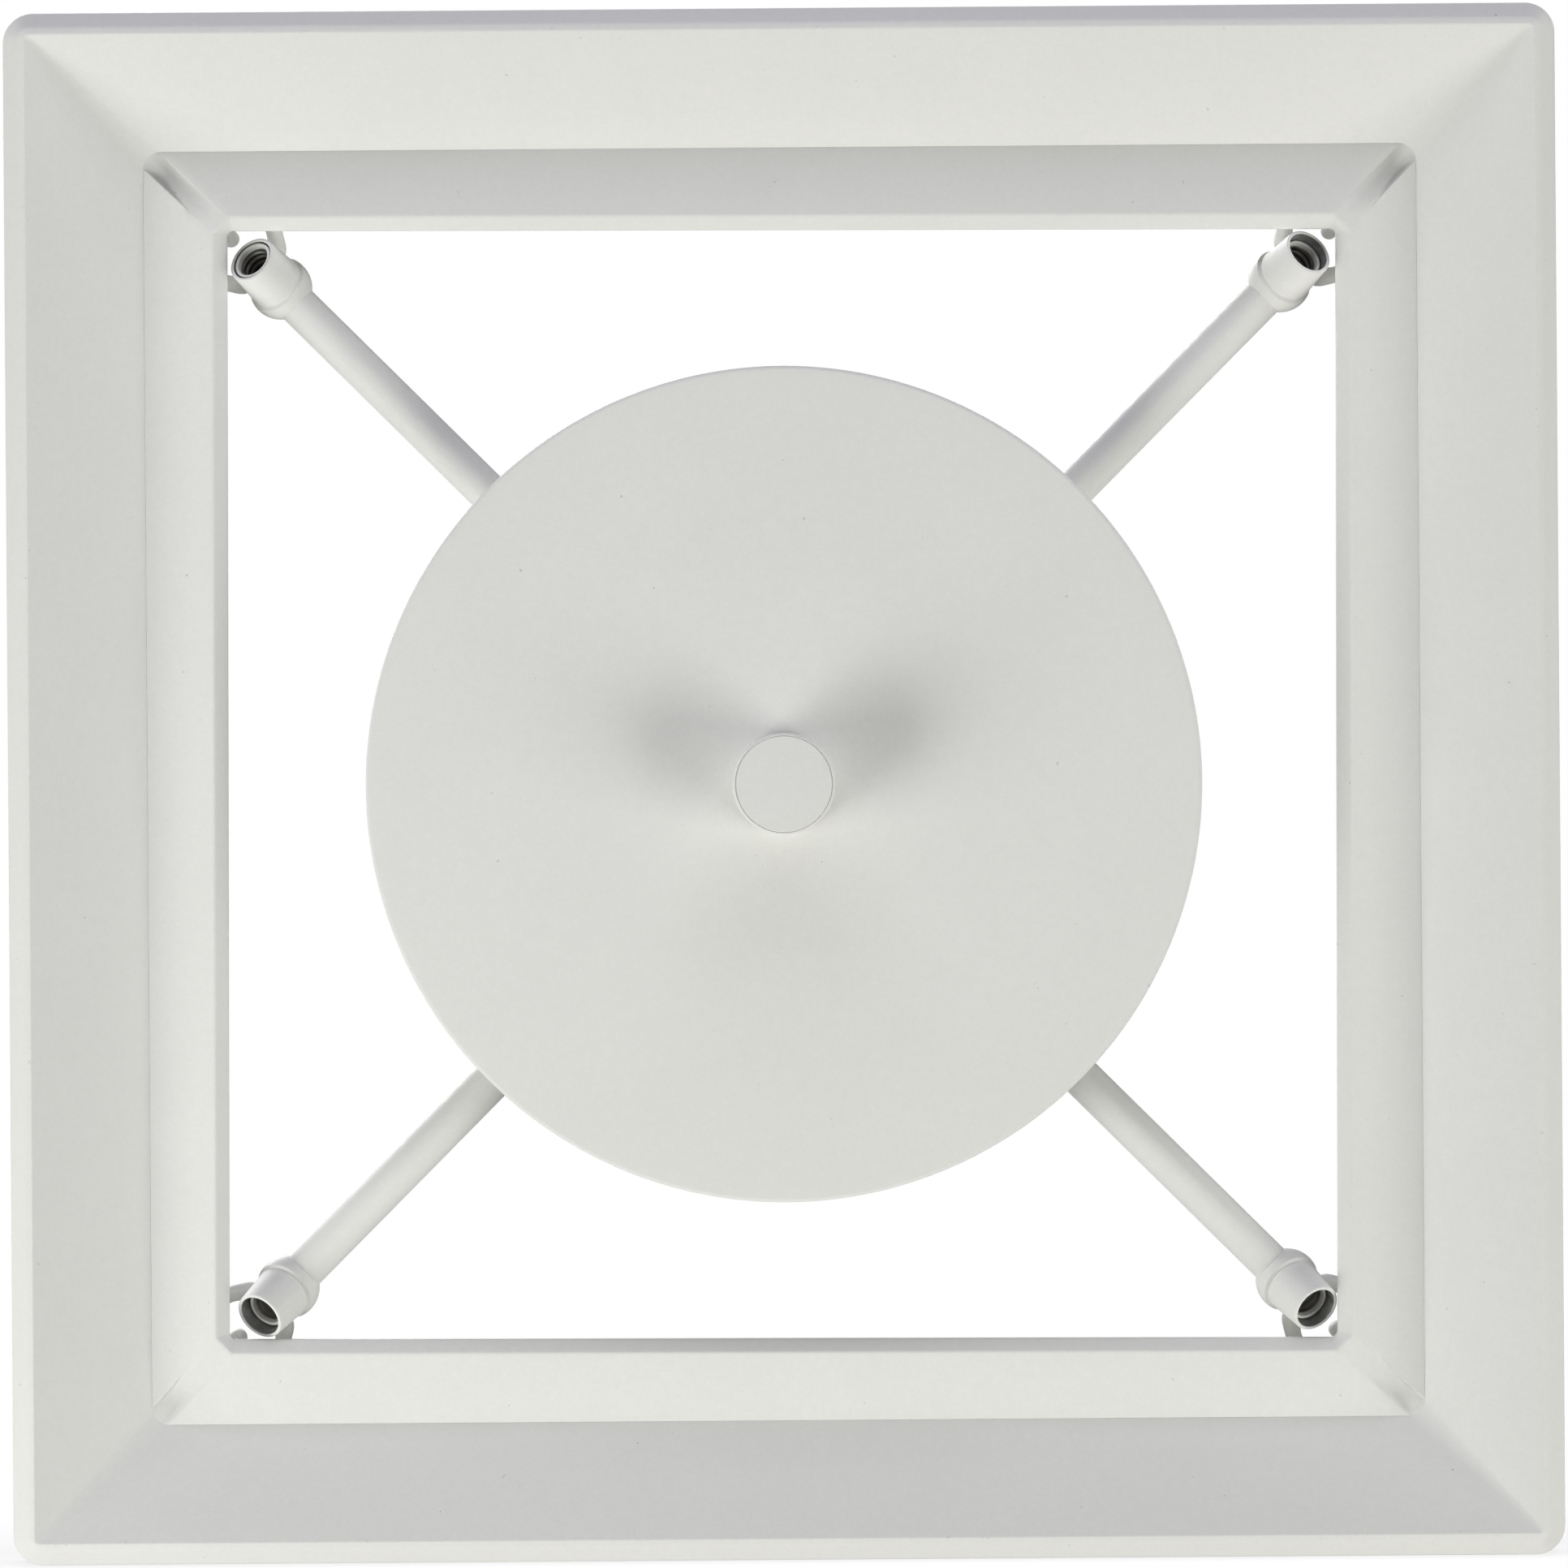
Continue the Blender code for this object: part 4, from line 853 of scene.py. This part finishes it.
def build_hub_ring():
    low, high = ARM_DEPTH - 0.01, ARM_DEPTH + 0.01
    bore, rim, waist = CASING_RADIUS + 0.0003, 0.072, 0.0708
    hub = lathe("hub_ring_look", [
        (bore, low), (rim, low), (rim, low + 0.0024), (waist, low + 0.0032),
        (waist, high - 0.0032), (rim, high - 0.0024), (rim, high), (bore, high),
    ], [0.0003, 0.0008, 0.0005, 0.0006, 0.0006, 0.0005, 0.0008, 0.0003], sides=144)
    bosses, bores = [], [drill(Vector(), bore, 0, 0.08, 144)]
    for corner, outward in CORNERS.items():
        place = arm_place(corner)
        bosses.append(lathe("boss", [
            (0, 0.066), (0.0109, 0.066), (0.0109, 0.088), (0.0103, 0.0888), (0.0103, 0.092), (0, 0.092),
        ], [0.0001, 0.0004, 0.0004, 0.0009], 4, place, 56))
        bores.append(plug(ARM_RADIUS + 0.0003, 0.06, 0.1, place, 56))
        bores.append(drill(outward * 0.08, 0.0016, ARM_DEPTH + 0.0085, ARM_DEPTH + 0.014, 6))
    combine(hub, bosses, "UNION")
    return combine(hub, bores)


def build_mounting_plate():
    bore, rim, thickness, pressed = 0.0625, 0.145, 0.002, 0.0014
    plate = lathe("mounting_plate_look", [
        (bore, 0.0), (rim, 0.0), (rim, thickness), (0.1395, thickness), (0.1388, pressed), (0.1195, pressed),
        (0.1188, thickness), (bore, thickness),
    ], [0.0003, 0.0005, 0.0005, 0.0003, 0.0003, 0.0003, 0.0003, 0.0003], 3, sides=160)
    hole_circle = 0.132
    holes = [drill(c, 0.00275) for c in around(hole_circle, 4, pi / 4)] + screw_holes()
    for c in around(hole_circle, 4)[1::2]:
        across = Vector((c.z, 0, -c.x)).normalized() * 0.004
        holes += [drill(c + across * k / 2, 0.0024) for k in (-2, -1, 0, 1, 2)]
    return combine(plate, holes)


def build_duct_spigot():
    back, front = depth_range("duct_spigot")
    bore, outside, bead_radius = 0.0595, 0.0615, 0.0012
    bead_depths = (-0.022, -0.06, -0.088)
    points = [(bore, front), (FLANGE_RADIUS, front), (FLANGE_RADIUS, front - 0.002), (outside, front - 0.002)]
    for at in bead_depths:
        points += [(outside, at + 0.003), (outside - 0.0011, at + 0.001),
                   (outside - 0.0011, at - 0.001), (outside, at - 0.003)]
    points += [(outside, back), (bore, back)]
    for at in bead_depths[::-1]:
        points += [(bore + 0.0002, at - 0.003), (bore - 0.0006, at - 0.001),
                   (bore - 0.0006, at + 0.001), (bore + 0.0002, at + 0.003)]
    beads = [bead_radius] * 4 * len(bead_depths)
    radii = [0.0012, 0.0006, 0.0006, 0.0006, *beads, 0.0009, 0.0009, *beads]
    spigot = lathe("duct_spigot_look", points, radii, 3, sides=144)
    pin_hole = plug(0.0018, -0.1, 0.1, PIN_PLACE, 20)
    return combine(spigot, [*screw_holes(), pin_hole])


def build_fan_casing():
    low, high = depth_range("fan_casing")
    outside, groove = CASING_RADIUS, CASING_RADIUS - 0.0009
    casing = lathe("fan_casing_look", [
        (CASING_BORE, low), (FLANGE_RADIUS, low), (FLANGE_RADIUS, low + 0.002), (0.0665, low + 0.002),
        (outside, low + 0.0045), (outside, low + 0.0075), (groove, low + 0.009), (groove, low + 0.0105),
        (outside, low + 0.012), (outside, high), (CASING_BORE, high),
    ], [0.0012, 0.0006, 0.0006, 0.001, 0.0015, 0.001, 0.0008, 0.0008, 0.001, 0.0008, 0.0008], 3, sides=144)
    cable = Matrix.Translation(FRONT * -centre_of("cable_grommet").y) @ FACE_LEFT
    return combine(casing, [*screw_holes(), plug(0.0042, 0.055, 0.07, cable, 32)])


def build_inlet_ring():
    low, high = depth_range("inlet_ring")
    reach, rise = INLET_RADIUS - CASING_BORE, high - low
    wall, lip = 0.002, INLET_RADIUS - 0.0003

    def bell(inset):
        return [(INLET_RADIUS - (reach - inset) * cos(a), low + (rise - inset) * sin(a)) for a in quarter(26)]

    profile = bell(wall) + [(lip, high - 0.0015), (lip, high - 0.0004)] + bell(0)[::-1][1:]
    ring = lathe("inlet_ring_look", profile, sides=144)
    ribs = [rounded_box("rib", (0.024, 0.005, 0.0014), turned_out(c, low + 0.0035), 0.0003)
            for c in around(0.08, 12, pi / 12)]
    return combine(ring, ribs, "UNION")


def build_screw(number):
    node = f"fixing_screw_{number}"
    middle = centre_of(node)
    low, high = depth_range(node)
    seat = high - 0.0026
    head, root, pitch = 0.0038, 0.0019, 0.0006
    points = [(head * sin(a), seat + 0.0007 + 0.0019 * cos(a)) for a in quarter(8)]
    points += [(head, seat + 0.0002), (0.0036, seat), (root, seat)]
    at = seat - pitch
    while at > low + 0.0008:
        points += [(root, at), (0.00155, at - pitch / 2)]
        at -= pitch
    place = Matrix.Translation((middle.x, 0, middle.z)) @ FACE_FRONT
    screw = lathe(f"{node}_look", points + [(0.0012, low), (0, low)], place=place, sides=40)
    slots = [rounded_box("slot", (0.0042, 0.0009, 0.0028), place @ Matrix.Translation((0, 0, high))
                         @ Matrix.Rotation(turn + number, 4, "Z"), 0.0002) for turn in (0.3, 0.3 + pi / 2)]
    return combine(screw, slots)


# ---------------------------------------------------------------- spindle, bridge and fan

def build_spindle():
    """A rod with a screw thread, plain near its foot, with chamfered ends."""
    low, high = depth_range("spindle")
    radius, pitch, groove, chamfer = half_width("spindle"), 0.001, 0.0004, 0.0008
    plain_low, plain_high = low + 0.002, low + 0.014
    rows = ceil((high - low) / pitch * 8)
    rings = []
    for i in range(rows + 1):
        height = low + (high - low) * i / rows
        taper = max(0.0, chamfer - min(height - low, high - height))
        cut = 0.0 if plain_low < height < plain_high else groove
        rings.append(thread_ring(lambda turn: radius - taper - cut * (1 - abs(2 * turn - 1)),
                                 height, pitch, FACE_FRONT, 40))
    return loft("spindle_look", rings, closed=False, caps=True, angle=45)


def build_spindle_bridge():
    low, high = depth_range("spindle_bridge")
    half = half_width("spindle_bridge")
    thickness = 0.003
    middle = high - 0.0003 - thickness / 2
    bar = rounded_box("spindle_bridge_look", (2 * half, thickness, 0.016), Matrix.Translation(FRONT * middle),
                      0.0007, 3)
    rib_depth = FRONT * (middle - 0.0022)
    ribs = [rounded_box("rib", (0.07, thickness, thickness), Matrix.Translation(rib_depth + Vector((x, 0, z))),
                        0.0008, 2)
            for x in (-0.052, 0.052) for z in (-0.0045, 0.0045)]
    boss = lathe("boss", [(0, low), (0.0094, low), (0.01, low + 0.0006), (0.01, high), (0, high)],
                 [0.0003, 0.0004, 0.0005], sides=64)
    combine(bar, [*ribs, boss], "UNION")
    cuts = [drill(Vector(), 0.0043, 0, 0.12, 48)]
    for side in (-1, 1):
        cuts.append(drill(Vector((side * (half - 0.006), 0, 0)), 0.0018, 0.04, 0.08))
        cuts += [drill(Vector((side * (half - 0.022 - 0.0012 * k), 0, 0)), 0.0024, 0.04, 0.08, 20)
                 for k in range(6)]
    return combine(bar, cuts)


def build_motor_case():
    low, high = depth_range("motor_case")
    radius = half_width("motor_case")
    wall, shaft_hole = 0.0015, 0.0036
    inside, groove = radius - wall, radius - 0.0005
    case = lathe("motor_case_look", [
        (0, low + wall), (inside, low + wall), (inside, high - wall), (shaft_hole, high - wall),
        (shaft_hole, high), (0.0085, high), (0.009, high - 0.0006), (radius - 0.002, high - 0.0006),
        (radius, high - 0.003), (radius, high - 0.01), (groove, high - 0.0104),
        (groove, high - 0.011), (radius, high - 0.0114), (radius, low + 0.003),
        (radius - 0.003, low), (0, low),
    ], [0.0004, 0.0004, 0.0002, 0.0002, 0.0002, 0.0003, 0.0006, 0.001, 0.0002, 0.0001, 0.0001, 0.0002,
        0.0016, 0.0016], 3)
    slots = [rounded_box("slot", (0.006, 0.005, 0.003), turned_out(c, low + 0.006), 0.0008, 2)
             for c in around(radius - 0.001, 10, pi / 10)]
    return combine(case, slots)


def blade_ring(along, middle, steps=12):
    """A blade's section at a share of its length from the hub, flatter and wider towards the tip."""
    pitch = radians(52) + (radians(28) - radians(52)) * along
    chord = 0.03 * (0.8 + 0.35 * along) * (1.0 if along < 0.9 else 1 - 2.2 * (along - 0.9) ** 1.4)
    camber = 0.003 * (0.5 + 0.5 * along)
    root, tip = 0.0188, 0.0592
    radius = root + (tip - root) * along
    top, bottom = [], []
    for k in range(steps + 1):
        across = -0.5 + k / steps
        thick = 0.0009 * sqrt(max(0.0, 1 - (2 * across) ** 4)) + 0.00006
        for sign, row in ((1, top), (-1, bottom)):
            lift = camber * (1 - 4 * across ** 2) + sign * thick
            tangent = chord * across * cos(pitch) - lift * sin(pitch)
            rise = chord * across * sin(pitch) + lift * cos(pitch)
            row.append(Vector((tangent, -(middle + rise), sqrt(radius ** 2 - tangent ** 2))))
    return top + bottom[::-1]


def build_impeller():
    low, high = depth_range("impeller")
    bore, skirt = 0.0033, 0.02
    hub = lathe("impeller_look", [
        (bore, high - 0.0005), (0.0068, high), (0.012, high - 0.0012), (0.0172, high - 0.004),
        (0.0196, high - 0.008), (skirt, high - 0.012), (skirt, low), (0.0185, low),
        (0.0185, high - 0.0105), (0.008, high - 0.006), (0.008, low + 0.001), (bore, low + 0.001),
    ], [0.0003, 0.002, 0.005, 0.005, 0.005, 0.005, 0.0005, 0.0005, 0.003, 0.001, 0.0004, 0.0004])
    blades, steps, count = [], 22, 6
    for index in range(count):
        turn = Matrix.Rotation(2 * pi * index / count, 4, "Y")
        rings = [[turn @ p for p in blade_ring(i / steps, (low + high) / 2)] for i in range(steps + 1)]
        blades.append(loft("blade", rings, closed=False, caps=True, angle=40))
    return combine(hub, blades, "UNION")


def build_nut():
    low, high = depth_range("impeller_nut")
    bore, radius = 0.0033, 0.006
    nut = lathe("impeller_nut_look", [(bore, low), (radius, low), (radius, high), (bore, high)], sides=6)
    crown = lathe("crown", [
        (0, low - 0.0001), (0.0053, low - 0.0001), (0.0061, low + 0.0005), (0.0061, high - 0.0005),
        (0.0053, high + 0.0001), (0, high + 0.0001),
    ], [0.0001] * 4, sides=64)
    return combine(nut, [crown], "INTERSECT")


# ---------------------------------------------------------------- back-draught damper

PIN_DEPTH = -0.03
PIN_PLACE = Matrix.Translation(FRONT * PIN_DEPTH) @ FACE_SIDE
FLAP_RADIUS = 0.0576
FLAP_SHEET = 0.0009
FLAP_START = 0.004
BARREL_BORE = 0.0018


def flap_sheet(offset, up, columns=64, rows=16):
    """One side of a half-round flap pressed with a rib along its curve and two across."""
    rib_reach, rib_side, rib_height = 0.047, 0.02, 0.0009
    widest = sqrt(FLAP_RADIUS ** 2 - FLAP_START ** 2)
    grid = []
    for j in range(rows + 1):
        line = []
        for i in range(columns + 1):
            a = pi * i / columns
            x = FLAP_RADIUS * cos(a)
            inner = Vector((min(widest, max(-widest, x)), 0, FLAP_START))
            p = inner.lerp(Vector((x, 0, max(FLAP_START, FLAP_RADIUS * sin(a)))), j / rows)
            reach = sqrt(p.x ** 2 + p.z ** 2)
            rib = rib_height * exp(-((reach - rib_reach) / 0.0022) ** 2)
            if reach < rib_reach:
                rib += rib_height * exp(-((abs(p.x) - rib_side) / 0.0018) ** 2)
            line.append(Vector((p.x, offset - rib, up * p.z)))
        grid.append(line)
    return grid


def build_flap(side, up, barrels):
    """A flap with rolled hinge barrels."""
    front, back = flap_sheet(-FLAP_SHEET / 2, up), flap_sheet(FLAP_SHEET / 2, up)
    rings = [a + b[::-1] for a, b in zip(front, back)]
    flap = loft(f"damper_flap_{side}_look", rings, closed=False, caps=True, angle=40)
    flap.data.transform(Matrix.Translation(FRONT * PIN_DEPTH))
    joins, outside = [], 0.0033
    for left, right in barrels:
        middle = Matrix.Translation(FRONT * PIN_DEPTH + Vector(((left + right) / 2, 0, up * 0.0037)))
        joins.append(rounded_box("tongue", (right - left, FLAP_SHEET, 0.0036), middle, 0.0002))
        joins.append(lathe("barrel", [
            (BARREL_BORE, left), (outside, left), (outside, right), (BARREL_BORE, right),
        ], [0.0002, 0.0005, 0.0005, 0.0002], 4, PIN_PLACE, 40))
    combine(flap, joins, "UNION")
    return combine(flap, [plug(BARREL_BORE - 0.00001, -0.07, 0.07, PIN_PLACE, 40)])


def build_damper_pin():
    half, radius = half_width("damper_pin"), 0.0015
    return lathe("damper_pin_look", [(0, -half), (radius, -half), (radius, half), (0, half)],
                 [0.0004, 0.0004], 4, PIN_PLACE, 32)


def build_damper_spring():
    turns, steps = 5, 28
    half, radius, wire = 0.006, 0.003, 0.0004
    count = turns * steps
    path = []
    for i in range(count + 1):
        a = 2 * pi * i / steps
        along = Vector((half * (2 * i / count - 1), 0, 0))
        path.append(FRONT * PIN_DEPTH + along + radius * (FRONT * cos(a) + UP * sin(a)))
    return sweep("damper_spring_look", path, wire, sides=12)


# ---------------------------------------------------------------- electrics

def build_terminal_block():
    """The block, and the four screws in its wells as one piece."""
    low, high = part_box("terminal_block")
    middle, size = (low + high) / 2, high - low
    block = rounded_box("terminal_block_look", size, Matrix.Translation(middle), 0.0008, 3)
    pitch, ways = 0.0095, 4
    cuts, screws = [], []
    for i in range(ways):
        z = middle.z + (i - (ways - 1) / 2) * pitch
        well = Matrix.Translation((middle.x, low.y, z)) @ Matrix.Rotation(-pi / 2, 4, "X")
        cuts.append(plug(0.0029, -0.001, 0.0045, well, 32))
        for side in (-1, 1):
            entry = Matrix.Translation((middle.x + side * size.x / 2, middle.y + 0.001, z)) @ FACE_SIDE
            cuts.append(plug(0.0019, -0.004, 0.004, entry))
        if i < ways - 1:
            cuts.append(rounded_box("gap", (size.x + 0.002, 0.006, 0.0009),
                                    Matrix.Translation((middle.x, low.y, z + pitch / 2)), 0.0002))
        seat = Matrix.Translation((middle.x, low.y + 0.0044, z)) @ FACE_FRONT
        head_radius, head_top = 0.0026, 0.0018
        head = lathe("head", [(0, head_top), (head_radius, head_top), (head_radius, -0.0003), (0, -0.0003)],
                     [0.0005, 0.0001], 4, seat, 28)
        slot = seat @ Matrix.Translation((0, 0, head_top)) @ Matrix.Rotation(0.5 + i, 4, "Z")
        screws.append(combine(head, [rounded_box("slot", (0.006, 0.0007, 0.0016), slot, 0.0001)]))
    return combine(block, cuts), merge(screws, "terminal_screws_look")


def build_capacitor():
    """A can with two pressed bands round it."""
    low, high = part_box("capacitor")
    middle, size = (low + high) / 2, high - low
    body = rounded_box("capacitor_look", size, Matrix.Translation(middle), 0.0026, 5)
    band_depth = 0.0004
    bands = []
    for side in (-1, 1):
        at = Matrix.Translation((middle.x, middle.y, middle.z + side * 0.0155))
        band = rounded_box("band", (size.x + 0.002, size.y + 0.002, 0.0008), at, 0.0001)
        core = (size.x - 2 * band_depth, size.y - 2 * band_depth, 0.004)
        bands.append(combine(band, [rounded_box("core", core, at, 0.0018, 4)]))
    return combine(body, bands)


def build_motor_cable():
    entry, bracket, motor = -0.0115, -0.0145, -0.001
    points = [Vector(p) for p in ((-0.1164, entry, 0), (-0.104, entry, 0), (-0.092, bracket, 0),
                                  (-0.048, bracket, 0), (-0.036, motor, 0), (-0.0253, motor, 0))]
    return sweep("motor_cable_look", soft_path(points, 0.01), 0.0025, sides=28)


def build_grommet():
    place = Matrix.Translation((0, centre_of("cable_grommet").y, 0)) @ FACE_LEFT
    gap, flange = 0.0006, 0.0015
    inner, outer = CASING_BORE - gap, CASING_RADIUS + gap
    bore, waist, rim = 0.0028, 0.0039, 0.006
    return lathe("cable_grommet_look", [
        (bore, outer + flange), (rim, outer + flange), (rim, outer), (waist, outer), (waist, inner),
        (rim, inner), (rim, inner - flange), (bore, inner - flange),
    ], [0.0004, 0.0009, 0.0003, 0.0003, 0.0003, 0.0003, 0.0009, 0.0004], 4, place, 64)


# ---------------------------------------------------------------- put everything together

def show(obj, material, *more, body="unit"):
    """obj stands for the CAD node it is named after: it hides it, rides on its body and takes its finish."""
    node = obj.name.removesuffix("_look")
    obj.data.materials.clear()
    for finish in (material, *more):
        obj.data.materials.append(finish)
    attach(obj, body)
    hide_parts(node)


paint = powder_coat("powder_coat_look")
frame_paint = powder_coat("powder_coat_frame_look", crease_half=RIDGE_HALF)
# This coat carries painted shade in the sunk corner strips.
inner_paint_painted_shade = powder_coat("powder_coat_inner_look", strip_half=VALLEY_HALF)
zinc = galvanised("galvanised_look")
steel = bare_metal("bright_steel_look", (0.62, 0.62, 0.62))
zinc_bore = galvanised("zinc_bore_look", (0.42, 0.43, 0.43), 0.003)
brass = bare_metal("nickel_brass_look", (0.66, 0.62, 0.54))
thread_brass = bare_metal("dull_brass_look", (0.2, 0.195, 0.18), (0.35, 0.55))
ceramic = glazed("glazed_ceramic_look")
white_plastic = moulded("white_plastic_look", (0.78, 0.78, 0.75))
grey_plastic = moulded("grey_plastic_look", (0.3, 0.31, 0.32))
rubber = moulded("black_rubber_look", (0.025, 0.025, 0.027), (0.65, 0.85), 0.0007, 0.00006)
copper = wound_copper("copper_winding_look")

SLOT_FINISH = {
    "powder_coat": paint, "galvanised": zinc, "bright_steel": steel, "nickel_brass": brass,
    "glazed_ceramic": ceramic, "white_plastic": white_plastic, "grey_plastic": grey_plastic,
    "black_rubber": rubber, "copper": copper,
}
for node, obj in frame["nodes"].items():
    obj.data.materials.clear()
    obj.data.materials.append(SLOT_FINISH.get(slot_of(node), paint))

show(build_outer_frame(), frame_paint, body="frame")
show(build_inner_frame(), inner_paint_painted_shade, body="frame")
for corner in CORNERS:
    cup = build_cup(corner)
    show(cup, paint, zinc_bore)
    mark_bore(cup, corner)
    show(build_hook(corner), paint, body="frame")
    show(build_arm(corner), paint)
    show(build_lamp_body(corner), ceramic)
    show(build_lamp_thread(corner), thread_brass)
    show(build_lamp_contact(corner), brass)
    show(build_lamp_lead(corner), white_plastic)
show(build_disc(), paint, body="front_disc")
show(build_knob(), paint, body="knob")

show(build_hub_ring(), paint)
show(build_inlet_ring(), white_plastic)
for build in (build_mounting_plate, build_duct_spigot, build_fan_casing, build_spindle_bridge,
              build_motor_case):
    show(build(), zinc)
for number in range(1, 5):
    show(build_screw(number), steel)
for build in (build_spindle, build_damper_pin, build_damper_spring):
    show(build(), steel)
show(build_impeller(), white_plastic, body="impeller")
show(build_nut(), steel, body="impeller")
show(build_flap("upper", 1, ((-0.052, -0.03), (0.008, 0.028))), zinc, body="damper_upper")
show(build_flap("lower", -1, ((-0.028, -0.008), (0.03, 0.052))), zinc, body="damper_lower")

block, block_screws = build_terminal_block()
show(block, white_plastic)
block_screws.data.materials.append(steel)
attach(block_screws, "unit")
show(build_capacitor(), grey_plastic)
show(build_motor_cable(), rubber)
show(build_grommet(), rubber)


# ---------------------------------------------------------------- floor, lights and camera

# Levels are light in red, green and blue.
WORLD_LEVEL = (0.1, 0.1, 0.1)
FLOOR_LEVEL = (0.262, 0.259, 0.246)

# Each light's place, size and level.
LIGHTS = {
    "left_low": ((-1.1, -0.74, -0.84), (0.7, 0.7), (6.076, 6.202, 6.172)),
    "top": ((0, -0.7, 1.6), (2.0, 0.8), (13.203, 13.196, 14.693)),
    "left_side": ((-1.75, -1.0, -0.8), (1.0, 1.2), (23.472, 23.552, 22.41)),
    "right_side": ((1.75, -1.0, -0.8), (1.0, 1.2), (28.79, 28.852, 27.464)),
    "back": ((-0.9, 1.9, 1.1), (1.6, 1.2), (45.0, 45.0, 45.0)),
}
AIM = Vector((0, -0.07, 0))
CAMERA_DISTANCE = 3.4
CAMERA_FRONT = 0.07
CAMERA_ROLL = 0.42
SENSOR_WIDTH = 36
FRAME_SHARE = 0.9907


def build_floor():
    """A pale floor just below the unit that glows evenly, with a faint painted shadow where the unit is near,
    behind its front only.
    """
    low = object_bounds()[0].z - 0.0005
    size = 60.0
    corners = [(-size, -size, low), (size, -size, low), (size, size, low), (-size, size, low)]
    obj = mesh_object("floor", corners, [(0, 1, 2, 3)])
    made = bpy.data.materials.new("pale_floor")
    made.use_nodes = True
    made.node_tree.nodes.clear()
    ground = Finish(made.node_tree)
    # Painted shadow: occlusion darkens the glowing floor near the unit, only behind the unit's front.
    near = ground.add("ShaderNodeAmbientOcclusion", {"Distance": 0.22, "Color": WHITE}, samples=12)
    behind = ground.remap(ground.split()[1], -0.085, 0.0)
    dark = ground.product(ground.remap(near.outputs["AO"], 0.25, 1.0, 0.38, 0.0), behind)
    bright = ground.maths("SUBTRACT", 1.0, dark)
    surface = ground.camera_switch("ShaderNodeEmission", FLOOR_LEVEL, bright)
    ground.add("ShaderNodeOutputMaterial", {"Surface": surface})
    obj.data.materials.append(made)
    obj.visible_shadow = False


def build_world():
    world = bpy.data.worlds.new("studio")
    bpy.context.scene.world = world
    world.use_nodes = True
    world.node_tree.nodes.clear()
    sky = Finish(world.node_tree)
    surface = sky.camera_switch("ShaderNodeBackground", WORLD_LEVEL)
    sky.add("ShaderNodeOutputWorld", {"Surface": surface})


def build_lights():
    for name, (place, size, level) in LIGHTS.items():
        data = bpy.data.lights.new(name, "AREA")
        data.shape = "RECTANGLE"
        data.size, data.size_y = size
        data.energy = max(level)
        data.color = tuple(c / max(level) for c in level)
        obj = new_object(name, data)
        obj.location = place
        obj.rotation_euler = (AIM - Vector(place)).to_track_quat("-Z", "Y").to_euler()


def build_camera():
    data = bpy.data.cameras.new("camera")
    data.sensor_width = SENSOR_WIDTH
    data.lens = SENSOR_WIDTH * CAMERA_DISTANCE / (2 * FRAME_HALF / FRAME_SHARE)
    obj = new_object("camera", data)
    obj.location = (0, -(CAMERA_FRONT + CAMERA_DISTANCE), 0)
    obj.rotation_euler = (pi / 2, radians(CAMERA_ROLL), 0)
    bpy.context.scene.camera = obj


build_floor()
build_world()
build_lights()
build_camera()
bpy.context.scene.view_settings.view_transform = "Standard"
